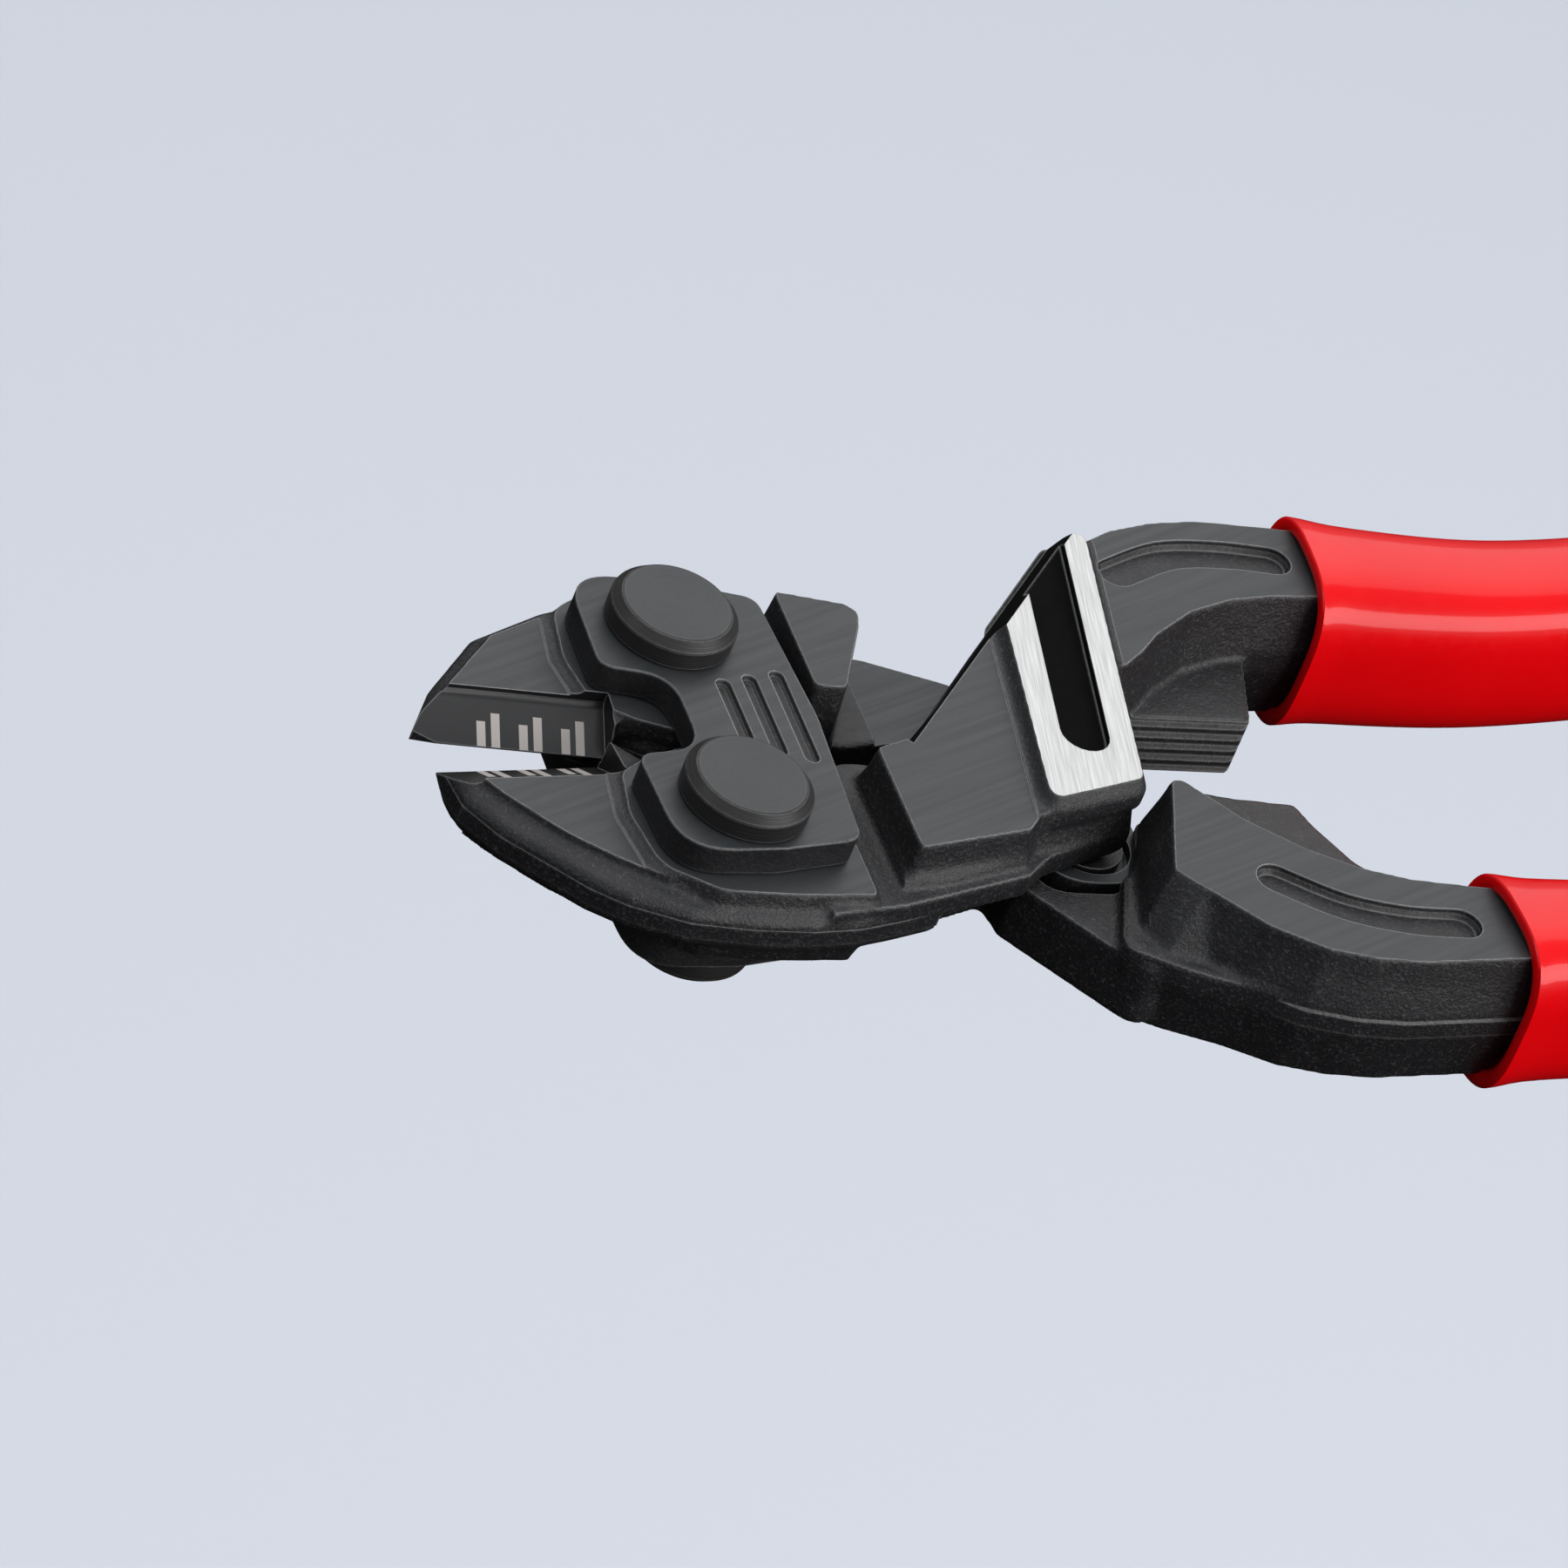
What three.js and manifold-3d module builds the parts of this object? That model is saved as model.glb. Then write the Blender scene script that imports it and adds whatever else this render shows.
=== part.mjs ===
// Compact bolt cutters, pocket size.
// Frame: millimetres, +X towards the handle ends, +Y from the lower to the upper rivet, +Z to the front.
// The origin is on the lower rivet's axis, in the plane that the back rivet heads rest on.
// Outlines are drawn about the tool's mid-plane, z = 0, and the finished group is lifted by restHeight.
import * as THREE from 'three';
import { mergeVertices } from 'three/addons/utils/BufferGeometryUtils.js';
import Module from 'manifold-3d';

const wasm = await Module();
wasm.setup();

// ---- driving dimensions ----
const rivetSpacing = 19.2;      // lower to upper rivet
const bladeReach = 20.4;        // lower rivet to the blade tips
const handleReach = 138;        // lower rivet to the ends of the grips
const seatHalf = 3.5;           // half the jaws' thickness under the cheek plates
const bladeHalf = 2.8;          // half the blades' thickness
const plateThickness = 2.5;
const flashHalf = 1.0;          // half the height of the trimmed parting band
const draft = 1.0;              // how far the parting band stands outside the faces
const lapGap = 0.3;             // gap between parts that lap or slide
const seatGap = 0.15;           // gap between faces that lie on each other

const rivetHeadHeight = 2.5;
const rivetHeadRadius = 5.2;
const rivetFaceRadius = 4.1;
const rivetChamfer = 0.9;
const rivetShankRadius = 3.0;
const rivetFit = 0.08;          // radial play of a rivet or pin in its hole

const edgeStart = [-20.4, 8.35]; // fixed blade's cutting edge, at the tip
const edgeAngle = 5.33;          // its rise towards the throat, degrees
const edgeLength = 13.6;
const bevelWidth = 3.7;
const edgeLand = 0.1;            // half the flat left on the edge
const bladeMeetGap = 0.12;       // between the closed edges

const jointPivot = [16.8, 4.4];  // fixed half to moving handle
const togglePivot = [32, 3.6];   // moving jaw's tail to moving handle
const jointLobeRadius = 5.4;
const toggleLobeRadius = 4.6;
const jointPinRadius = 2.6;
const jointPinHeadRadius = 3.6;
const jointPinHeadHeight = 1.4;
const jointPinDepth = 4.2;       // how far above the mid-plane its blind hole goes
const togglePinRadius = 2.2;
const togglePinHeadRadius = 3.0;
const togglePinHeadHeight = 0.8;
const togglePlay = 0.6;          // radial play where the linkage is opened
const lapFloor = -3.0;           // lap between the tail and the moving handle
const backInset = 0.4;           // the lapped parts' backs stand this far inside the faces

const closeAngle = 20.5;         // handle travel from rest to closed
const closeClearance = 0.8;      // degrees left between the handles' stops when closed
const plateRatio = 0.367;        // cheek plates' turn for one degree of handle
const jawRatio = 0.4737;         // moving jaw's turn for one degree of handle

const channelFloor = 2.4;
const pinBlockRise = 1.2;        // brushed pad above the faces
const padSlotEnds = [[30.7, 7.7], [34.9, 31.5]];
const padSlotWidth = 4.0;
const padSlotDepth = 0.8;
const grooves = [[2.6, 3.3], [4.95, 3.9], [7.4, 4.5]]; // x and half length, between the end centres
const grooveWidth = 1.25;
const grooveDepth = 0.5;
const upperRecessLine = [[41, 28.6], [46, 30.9], [51, 31.3], [55.5, 30.9]];
const lowerRecessLine = [[42.3, -6.6], [47, -9.4], [52, -10.7], [56.6, -10.9]];
const armRecessWidth = 3.2;
const armRecessDepth = 0.5;
const wireBlockSpan = [40.4, 51]; // the wire-gripping block under the upper arm, along x
const wireBlockFace = 17.6;      // and its ridged face
const wireBlockDepth = 5;
const serrationPitch = 1.1;
const serrationDepth = 0.35;

const upperGripStart = 57.6;
const lowerGripStart = 60;
const gripMouth = [6.5, 7.4];    // half width, half thickness
const gripWaist = [5.7, 7.0];
const gripTail = [6.6, 8.5];
const tangStart = [4.0, 5.0];
const tangEnd = [3.0, 4.0];
const gripEndRound = 6;          // length of a grip's rounded end
const tangShort = 7;             // the tang ends this far before its grip
const gripFit = 0.3;

// ---- derived sizes ----
const faceHalf = seatHalf + plateThickness;
const restHeight = faceHalf + rivetHeadHeight;
const midLine = rivetSpacing / 2;
const lowerRivet = [0, 0];
const upperRivet = [0, rivetSpacing];
const jawTop = rivetSpacing + 7.4;
const upperArmEnd = upperGripStart - lapGap - draft;
const lowerArmEnd = lowerGripStart - lapGap - draft;
const degree = Math.PI / 180;

// ---- materials ----
const forged = { color: 0x3c3f41, roughness: 0.55, metalness: 0.6 };
const turned = { color: 0x34373a, roughness: 0.4, metalness: 0.7 };
const dipped = { color: 0xc80808, roughness: 0.28, metalness: 0 };

// ---- outlines ----
function turnAbout([x, y], [cx, cy], degrees) {
  const c = Math.cos(degrees * degree);
  const s = Math.sin(degrees * degree);
  return [cx + c * (x - cx) - s * (y - cy), cy + s * (x - cx) + c * (y - cy)];
}

// where a point of the moving jaw stands at rest, given where it stands when the handles are closed
function jawAtRest(point) {
  const backOnPlates = turnAbout(point, turnAbout(upperRivet, lowerRivet, plateRatio * closeAngle),
    -(jawRatio - plateRatio) * closeAngle);
  return turnAbout(backOnPlates, lowerRivet, -plateRatio * closeAngle);
}

// corners are [x, y] or [x, y, radius]; one that is nearly straight stays as it is
const smallestReach = 0.12;
function roundedShape(corners) {
  const shape = new THREE.Shape();
  corners.forEach(([x, y, radius = 0], i) => {
    const here = new THREE.Vector2(x, y);
    const before = new THREE.Vector2(...corners.at(i - 1)).sub(here);
    const after = new THREE.Vector2(...corners[(i + 1) % corners.length]).sub(here);
    const half = Math.acos(before.clone().normalize().dot(after.clone().normalize())) / 2;
    const reach = Math.min(radius / Math.tan(half), before.length() * 0.49, after.length() * 0.49);
    const rounded = reach > smallestReach;
    const enter = rounded ? here.clone().add(before.setLength(reach)) : here;
    const leave = here.clone().add(after.setLength(reach));
    if (i === 0) shape.moveTo(enter.x, enter.y);
    else shape.lineTo(enter.x, enter.y);
    if (rounded) shape.quadraticCurveTo(x, y, leave.x, leave.y);
  });
  shape.closePath();
  return shape;
}

// ---- solids ----
function toSolid(geometry) {
  geometry.deleteAttribute('normal');
  geometry.deleteAttribute('uv');
  const merged = mergeVertices(geometry, 1e-4);
  return new wasm.Manifold(new wasm.Mesh({
    numProp: 3,
    vertProperties: new Float32Array(merged.attributes.position.array),
    triVerts: new Uint32Array(merged.index.array),
  }));
}

function joinAll(solids) {
  return solids.reduce((sum, solid) => sum.add(solid));
}

function slab(corners, low, high) {
  const geometry = new THREE.ExtrudeGeometry(roundedShape(corners), {
    depth: high - low, curveSegments: 5, bevelEnabled: false,
  });
  geometry.translate(0, 0, low);
  return toSolid(geometry);
}

// a forging: the trimmed band in the middle stands outside the faces by the draft
function forging(corners, half) {
  const geometry = new THREE.ExtrudeGeometry(roundedShape(corners), {
    depth: 2 * flashHalf, curveSegments: 5,
    bevelEnabled: true, bevelThickness: half - flashHalf, bevelSize: draft, bevelSegments: 1,
  });
  geometry.translate(0, 0, -flashHalf);
  return toSolid(geometry);
}

function between(solid, low, high) {
  const reach = 2 * handleReach;
  const layer = new THREE.BoxGeometry(2 * reach, 2 * reach, high - low);
  layer.translate(0, 0, (low + high) / 2);
  return solid.intersect(toSolid(layer));
}

function disc([x, y], radius, low, high, sides = 32) {
  const geometry = new THREE.CylinderGeometry(radius, radius, high - low, sides);
  geometry.rotateX(Math.PI / 2);
  geometry.translate(x, y, (low + high) / 2);
  return toSolid(geometry);
}

// a turned part, from its profile of [radius, z]
function turnedSolid(profile, [x, y], sides = 32) {
  const upwards = profile.map(([r, z]) => new THREE.Vector2(r, z)).reverse();
  const geometry = new THREE.LatheGeometry(upwards, sides);
  geometry.rotateX(Math.PI / 2);
  geometry.translate(x, y, 0);
  return toSolid(geometry);
}

// a slot with round ends, from one end's centre to the other
function capsule([x0, y0], [x1, y1], width, low, high) {
  const length = Math.hypot(x1 - x0, y1 - y0);
  const shape = new THREE.Shape();
  shape.absarc(0, 0, width / 2, Math.PI / 2, 1.5 * Math.PI, false);
  shape.absarc(length, 0, width / 2, -Math.PI / 2, Math.PI / 2, false);
  shape.closePath();
  const geometry = new THREE.ExtrudeGeometry(shape, {
    depth: high - low, curveSegments: 5, bevelEnabled: false,
  });
  geometry.rotateZ(Math.atan2(y1 - y0, x1 - x0));
  geometry.translate(x0, y0, low);
  return toSolid(geometry);
}

// a slot of constant width that follows a curve, with round ends
function curvedSlot(points, width, low, high, steps = 8, endSteps = 5) {
  const path = new THREE.CatmullRomCurve3(points.map(([x, y]) => new THREE.Vector3(x, y, 0)));
  const left = [];
  const right = [];
  for (let i = 0; i <= steps; i += 1) {
    const at = path.getPointAt(i / steps);
    const along = path.getTangentAt(i / steps);
    const side = new THREE.Vector2(-along.y, along.x).multiplyScalar(width / 2);
    left.push(new THREE.Vector2(at.x + side.x, at.y + side.y));
    right.unshift(new THREE.Vector2(at.x - side.x, at.y - side.y));
  }
  const capAround = (from, to) => {
    const centre = from.clone().add(to).multiplyScalar(0.5);
    const turns = Array.from({ length: endSteps - 1 }, (_, i) => (-Math.PI * (i + 1)) / endSteps);
    return turns.map((turn) => from.clone().rotateAround(centre, turn));
  };
  const outline = [...left, ...capAround(left.at(-1), right[0]), ...right, ...capAround(right.at(-1), left[0])];
  const geometry = new THREE.ExtrudeGeometry(new THREE.Shape(outline), {
    depth: high - low, bevelEnabled: false,
  });
  geometry.translate(0, 0, low);
  return toSolid(geometry);
}

// a bar along a curve whose section is a squared oval that changes from end to end
function sweptBar(curve, sectionAt, start, end, steps = 12, sides = 12) {
  const geometry = new THREE.CylinderGeometry(1, 1, 1, sides, steps);
  const position = geometry.attributes.position;
  const square = 0.72;
  for (let i = 0; i < position.count; i += 1) {
    const along = Math.sin((position.getY(i) + 0.5) * (Math.PI / 2)); // closer rings at the far end
    const t = start + (end - start) * along;
    const centre = curve.getPointAt(t);
    const tangent = curve.getTangentAt(t);
    const [half, thick] = sectionAt(t);
    const u = position.getX(i);
    const w = position.getZ(i);
    const side = Math.sign(u) * Math.abs(u) ** square * half;
    const up = Math.sign(w) * Math.abs(w) ** square * thick;
    position.setXYZ(i, centre.x + tangent.y * side, centre.y - tangent.x * side, up);
  }
  return toSolid(geometry);
}

// the ground side of a blade: a wedge taken off from the edge line to the flat
function bevelCutter([x, y], degrees, length, side) {
  const over = 2;
  const slope = (bladeHalf - edgeLand) / bevelWidth;
  const wedge = new THREE.Shape([
    new THREE.Vector2(-over, edgeLand - over * slope),
    new THREE.Vector2(-over, seatHalf + over),
    new THREE.Vector2(bevelWidth, seatHalf + over),
    new THREE.Vector2(bevelWidth, bladeHalf),
  ]);
  const geometry = new THREE.ExtrudeGeometry(wedge, { depth: length, bevelEnabled: false });
  // wedge x runs from the edge into the blade, wedge y runs along z, its depth along the edge
  const basis = new THREE.Matrix4().makeBasis(
    new THREE.Vector3(0, -side, 0), new THREE.Vector3(0, 0, 1), new THREE.Vector3(-side, 0, 0));
  geometry.applyMatrix4(basis);
  if (side > 0) geometry.translate(length, 0, 0);
  geometry.rotateZ(degrees * degree);
  geometry.translate(x, y, 0);
  const front = toSolid(geometry);
  return front.add(front.mirror([0, 0, 1]));
}

// ---- shared outlines ----
const edgeEnd = [
  edgeStart[0] + edgeLength * Math.cos(edgeAngle * degree),
  edgeStart[1] + edgeLength * Math.sin(edgeAngle * degree),
];
const jawEdgeStart = jawAtRest([edgeStart[0], edgeStart[1] + bladeMeetGap]);
const jawEdgeEnd = jawAtRest([edgeEnd[0], edgeEnd[1] + bladeMeetGap]);
const jawEdgeAngle = edgeAngle - jawRatio * closeAngle;

const upperHandleLine = new THREE.CatmullRomCurve3([
  [54, 30.4], [58, 30.3], [75, 29.8], [95, 33], [115, 38], [handleReach, 45],
].map(([x, y]) => new THREE.Vector3(x, y, 0)));
const lowerHandleLine = new THREE.CatmullRomCurve3([
  [56, -10.6], [60, -10.7], [75, -10.2], [95, -13.2], [115, -19], [handleReach, -28],
].map(([x, y]) => new THREE.Vector3(x, y, 0)));

// the share of a handle line's length at which it passes the given x
function shareAtX(line, x) {
  let low = 0;
  let high = 1;
  for (let i = 0; i < 30; i += 1) {
    const mid = (low + high) / 2;
    if (line.getPointAt(mid).x < x) low = mid;
    else high = mid;
  }
  return (low + high) / 2;
}

function mix(a, b, t) {
  return a.map((value, i) => value + (b[i] - value) * t);
}

function gripSection(line, start) {
  const waistAt = 0.35;
  const endShare = gripEndRound / (line.getLength() * (1 - start));
  return (t) => {
    const along = (t - start) / (1 - start);
    const section = along < waistAt
      ? mix(gripMouth, gripWaist, Math.sin((along / waistAt) * Math.PI / 2))
      : mix(gripWaist, gripTail, (1 - Math.cos(((along - waistAt) / (1 - waistAt)) * Math.PI)) / 2);
    const intoEnd = Math.max(0, (along - 1 + endShare) / endShare);
    return section.map((value) => value * Math.sqrt(Math.max(0.04, 1 - intoEnd ** 2)));
  };
}

function tangSection(start, end, grow = 0) {
  return (t) => mix(tangStart, tangEnd, (t - start) / (end - start)).map((value) => value + grow);
}

function tangSpan(line, gripStart) {
  const start = shareAtX(line, gripStart - 3);
  const end = shareAtX(line, handleReach - tangShort);
  return [start, end];
}

// ---- fixed half: lower jaw, joint block and upper handle in one forging ----
function fixedHalf() {
  const [px, py] = jointPivot;
  const around = jointLobeRadius + lapGap + 0.3;
  const headBand = [
    [-bladeReach, edgeStart[1]], [-20.2, 7.3], [-19.8, 4], [-17.7, 0.7], [-15.1, -1.8], [-12.1, -4.7],
    [-9.5, -6.4], [-5, -8.1], [0, -8.6], [5, -8.6], [9, -8.1], [12.5, -7.1], [16.4, -5.8],
    [16.0, py - around - 0.2], [px - around * 0.72, py - around * 0.72], [px - around, py],
    [px - around * 0.9, 8.6], [7.5, 8.2], [4, midLine - 0.8], [0, midLine - 0.4], [-3, midLine - 0.8],
    [-4.9, midLine - 2.0], edgeEnd,
  ];
  const bladeFace = [
    [-bladeReach, edgeStart[1]], [-19.6, 5.6], [-17.5, 2.8], [-15.5, 0.3], [-13.5, -1.9], [-10.5, -4.3],
    [-7, -6.4], [0, -7.4], [0, 6.5], [-4.9, midLine - 2.0], edgeEnd,
  ];
  const seat = [
    [-7.2, 5.6, 1.5], [-8, 1, 2], [-7.2, -4.6, 3], [-3, -7.2, 2], [3, -7.4, 2], [9.8, -7.1, 0.6],
    [9.8, 7.2, 1.5], [4, midLine - 1.0, 2], [0, midLine - 0.6, 2], [-4.2, midLine - 2.0, 1.5],
  ];
  const foot = [
    [6, -8.4], [12.5, -7.1], [16.5, -5.8], [24.2, -3.2, 1], [26.6, -1.0, 1], [34.3, 2.2],
    [34.6, 4.5], [36.5, 22], [28.6, 21.8], [20.3, 11.9], [16.3, 8.2, 2], [13.4, 8.8, 1], [9.6, 8.2, 1],
  ];
  const panel = [
    [13.3, -4.6, 0.4], [23.3, -2.1, 1.2], [24.6, -0.5, 0.8], [26.5, 0.2, 0.6], [34.0, 2.9, 0.6],
    [38.8, 31, 0.6], [36.6, 31.2, 0.6], [28.3, 21.5], [20, 11.5], [16.3, 7.7, 2], [13.3, 6.5, 0.4],
  ];
  const pad = [
    [25.3, 0.0, 1.2], [34.0, 2.9, 0.9], [38.8, 31, 0.6], [36.6, 31.2, 0.6], [28.6, 21.7, 1],
  ];
  const armFront = [
    [35.6, 12.5], [38, 15.5, 1], [40, 18.5], [42, 21], [46, 23.9], [50, 25.5], [54, 26.2],
    [upperArmEnd, 26.4], [upperArmEnd, 34.2], [54, 34.5], [50, 34.7],
    [46, 34.2], [42, 33], [38.8, 31.2], [37.2, 31],
  ];
  const armBack = [
    [39.5, 19], [42, 21], [46, 23.9], [50, 25.5], [54, 26.2],
    [upperArmEnd, 26.4], [upperArmEnd, 34.2], [54, 34.5], [50, 34.7],
    [46, 34.2], [42, 33], [39.5, 31.6],
  ];
  const [wireFrom, wireTo] = wireBlockSpan;
  const wireBlock = [
    [wireFrom, wireBlockFace, 0.6], [wireTo, wireBlockFace, 0.6], [wireTo + 2.5, 27], [wireFrom, 27],
  ];

  const head = joinAll([
    slab(headBand, -flashHalf, flashHalf),
    slab(bladeFace, -bladeHalf, bladeHalf),
    slab(seat, -seatHalf + seatGap, seatHalf - seatGap),
    between(slab(headBand, -seatHalf, 0).intersect(slab([[4, -9], [18, -9], [18, 10], [4, 10]], -9, 9)),
      -seatHalf + seatGap, 0),
  ]);
  const block = joinAll([
    slab(foot, -flashHalf, channelFloor).subtract(slab(footRelief(), -9, lapGap / 2)),
    slab(panel, lapGap / 2, faceHalf),
    slab(pad, lapGap / 2, faceHalf + pinBlockRise),
    between(forging(armFront, faceHalf), lapGap / 2, faceHalf + 1),
  ]);
  const arm = joinAll([
    between(forging(armBack, faceHalf), -faceHalf, lapGap),
    slab(wireBlock, -wireBlockDepth, flashHalf / 2),
  ]);
  const [tangFrom, tangTo] = tangSpan(upperHandleLine, upperGripStart);
  const tang = sweptBar(upperHandleLine, tangSection(tangFrom, tangTo), tangFrom, tangTo);

  const cuts = [
    disc(lowerRivet, rivetShankRadius + rivetFit, -9, 9),
    disc(jointPivot, jointPinRadius + rivetFit, -9, jointPinDepth + rivetFit),
    bevelCutter(edgeStart, edgeAngle, edgeLength, 1),
    capsule(...padSlotEnds, padSlotWidth, faceHalf + pinBlockRise - padSlotDepth, faceHalf + 3),
    armRecess(upperRecessLine),
    handlePastClosed(),
    ...serrations(wireBlockSpan, wireBlockFace),
  ];
  return cuts.reduce((solid, cut) => solid.subtract(cut), joinAll([head, block, arm, tang]));
}

// what the joint block's foot leaves free behind the mid-plane for the moving handle's lobe
function footRelief() {
  return [[16.4, -9], [60, -9], [60, 40], [8, 40], [8.5, 12], [11, 9], [11, 2], [13, -2]];
}

function armRecess(points) {
  return curvedSlot(points, armRecessWidth, faceHalf - armRecessDepth, faceHalf + 1);
}

// shallow V grooves along a wire-gripping face that looks along -Y
function serrations([x0, x1], y) {
  const cuts = [];
  for (let z = -wireBlockDepth + serrationPitch / 2; z < 0; z += serrationPitch) {
    const vee = new THREE.Shape([
      new THREE.Vector2(-2 * serrationDepth, -serrationDepth),
      new THREE.Vector2(2 * serrationDepth, -serrationDepth),
      new THREE.Vector2(0, serrationDepth),
    ]);
    const groove = new THREE.ExtrudeGeometry(vee, { depth: x1 - x0 + 2, bevelEnabled: false });
    groove.rotateY(Math.PI / 2);
    groove.translate(x0 - 1, y, z);
    cuts.push(toSolid(groove));
  }
  return cuts;
}

// ---- moving jaw: upper blade, boss and tail ----
const tailOutline = [
  [13, 24, 2], [19.5, 23.6, 3], [26.6, 21, 4], [32, 15.5, 5],
  [togglePivot[0] + toggleLobeRadius, togglePivot[1] + 5.4, 4],
  [togglePivot[0] + toggleLobeRadius, togglePivot[1] - toggleLobeRadius, 5],
  [togglePivot[0] - toggleLobeRadius, togglePivot[1] - toggleLobeRadius, 5],
  [togglePivot[0] - toggleLobeRadius, togglePivot[1] + 4, 3],
  [25.4, 12, 4], [20, 14.2, 4], [13, 12.6, 2],
];

function movingJaw() {
  const mirrorLine = (y) => rivetSpacing - y;
  const headBand = [
    jawEdgeStart, jawEdgeEnd, [-4.9, midLine + 2.0], [-3, midLine + 0.8], [0, midLine + 0.4],
    [4, midLine + 0.8], [8, 11.2], [12, 12.6], [14, 23.6, 1], [9.8, jawTop], [3, jawTop + 0.6],
    [-3, jawTop + 0.4], [-7.2, 25.6], [-13.8, 22.2], [-18.9, 16.4], [-21.2, 12.6],
  ];
  const bladeFace = [
    jawEdgeStart, jawEdgeEnd, [-4.9, midLine + 2.0], [0, mirrorLine(6.5)], [0, jawTop - 0.4],
    [-3, 26.1], [-6.7, 24.6], [-13.2, 21.4], [-18.4, 15.7], [-20.6, 12.4],
  ];
  const seat = [
    [-7.2, mirrorLine(5.6), 1.5], [-8, mirrorLine(1), 2], [-7.2, mirrorLine(-4.6), 3],
    [-3, jawTop - 0.2, 2], [3, jawTop, 2], [9.8, jawTop - 0.3, 0.6], [9.8, mirrorLine(7.2), 1.5],
    [4, midLine + 1.0, 2], [0, midLine + 0.6, 2], [-4.2, midLine + 2.0, 1.5],
  ].reverse();
  const boss = [
    [10.4, 13.3, 0.5], [13, 13.2, 0.5], [16.4, 20.4, 0.8], [16.9, 22, 0.9], [16, 22.9, 0.6], [10.4, 24, 0.4],
  ];
  const body = joinAll([
    slab(headBand, -flashHalf, flashHalf),
    slab(bladeFace, -bladeHalf, bladeHalf),
    slab(seat, -seatHalf + seatGap, seatHalf - seatGap),
    slab(boss, -faceHalf, faceHalf),
    slab(tailOutline, lapFloor + lapGap / 2, -lapGap / 2),
    slab([[12, 12.9, 1], [12, 24, 1], [19.5, 23.4, 3], [24.6, 21.4, 2], [23.6, 14, 1], [18, 14.4, 2]],
      -faceHalf + backInset, -lapGap / 2),
  ]);
  const cuts = [
    disc(upperRivet, rivetShankRadius + rivetFit, -9, 9),
    disc(togglePivot, togglePinRadius + togglePlay, -9, 9),
    disc(togglePivot, togglePinHeadRadius + togglePlay, -lapGap / 2 - togglePinHeadHeight - seatGap, 9),
    bevelCutter(jawEdgeStart, jawEdgeAngle, edgeLength, -1),
  ];
  return cuts.reduce((solid, cut) => solid.subtract(cut), body);
}

// ---- moving handle: joint lobe, toggle seat and lower handle ----
const handleFace = [
  [34, -5.9, 0.3], [37.3, 4.2, 0.4], [38.2, 4.2, 0.6], [42, 0], [46, -3], [50, -5], [54, -6.1],
  [lowerArmEnd, -6.7], [lowerArmEnd, -14.8], [52, -15.4], [48, -15.2],
  [44, -14.3], [40, -12], [36, -8],
];
const handleLobe = [
  [37.5, 2.5], [38.4, 5.6, 0.8], [41.6, 7.1, 0.8], [44.2, 6.55, 2], [49.8, 6.0, 0.5], [50.6, 3.6, 1],
  [52.7, -0.4, 2], [57, -4.4], [57, -8], [41, -5],
];

function handleFront() {
  return joinAll([
    between(forging(handleFace, faceHalf), -flashHalf, faceHalf + 1),
    slab(handleLobe, -wireBlockDepth, wireBlockDepth / 2),
  ]);
}

// the moving handle's front where it stands just past closed, for the fixed half to clear
function handlePastClosed() {
  const [px, py] = jointPivot;
  return handleFront().translate([-px, -py, 0]).rotate([0, 0, closeAngle + closeClearance])
    .translate([px, py, 0]);
}

function movingHandle() {
  const [px, py] = jointPivot;
  const [tx, ty] = togglePivot;
  const head = [
    [px + 2, py - jointLobeRadius * 0.9, 1], [24.2, 1.6, 0.6], [24.7, -1.4, 1], [32.6, -10.9, 2],
    [37, -10], [42, -4], [40, 4.5], [37.6, 6.8, 2], [tx + 3, ty + toggleLobeRadius + 1, 2],
    [tx - 5, ty + toggleLobeRadius + 1, 3], [22, 7.6, 3], [px + 2, py + jointLobeRadius * 0.9, 1],
  ];
  const backFace = [
    [31.6, -8.6, 0.5], [34, -2], [38.2, 2.2, 0.6], [42, 0], [46, -3], [50, -5], [54, -6.1],
    [lowerArmEnd, -6.7], [lowerArmEnd, -14.8], [52, -15.4], [48, -15.2],
    [44, -14.3], [40, -12.3], [35.4, -10.6],
  ];
  const body = joinAll([
    handleFront(),
    between(forging(backFace, faceHalf), -faceHalf, 0),
    slab(head, -faceHalf + backInset, -lapGap / 2),
    disc(jointPivot, jointLobeRadius, -faceHalf + backInset, -lapGap / 2, 40),
  ]);
  const [tangFrom, tangTo] = tangSpan(lowerHandleLine, lowerGripStart);
  const tang = sweptBar(lowerHandleLine, tangSection(tangFrom, tangTo), tangFrom, tangTo);

  const cuts = [
    disc(jointPivot, jointPinRadius + rivetFit, -9, 9),
    disc(jointPivot, jointPinHeadRadius + rivetFit, -9, -faceHalf + backInset + jointPinHeadHeight + seatGap),
    disc(togglePivot, togglePinRadius + rivetFit, -9, 9),
    tailPocket(),
    armRecess(lowerRecessLine),
  ];
  return cuts.reduce((solid, cut) => solid.subtract(cut), body.add(tang));
}

// the room that the jaw's tail needs in the moving handle between fully open and closed
function tailPocket() {
  const [tx, ty] = togglePivot;
  const reach = toggleLobeRadius + 1.2;
  const corners = [
    [tx - reach, ty - reach, 3], [tx + reach, ty - reach, 3], [tx + reach + 0.6, ty + 4], [tx + reach + 0.6, ty + 17],
    [tx - 10, ty + 17], [tx - 8, ty + 6], [tx - reach, ty + 2],
  ];
  return slab(corners, lapFloor - lapGap / 2, lapGap / 2);
}

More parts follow.
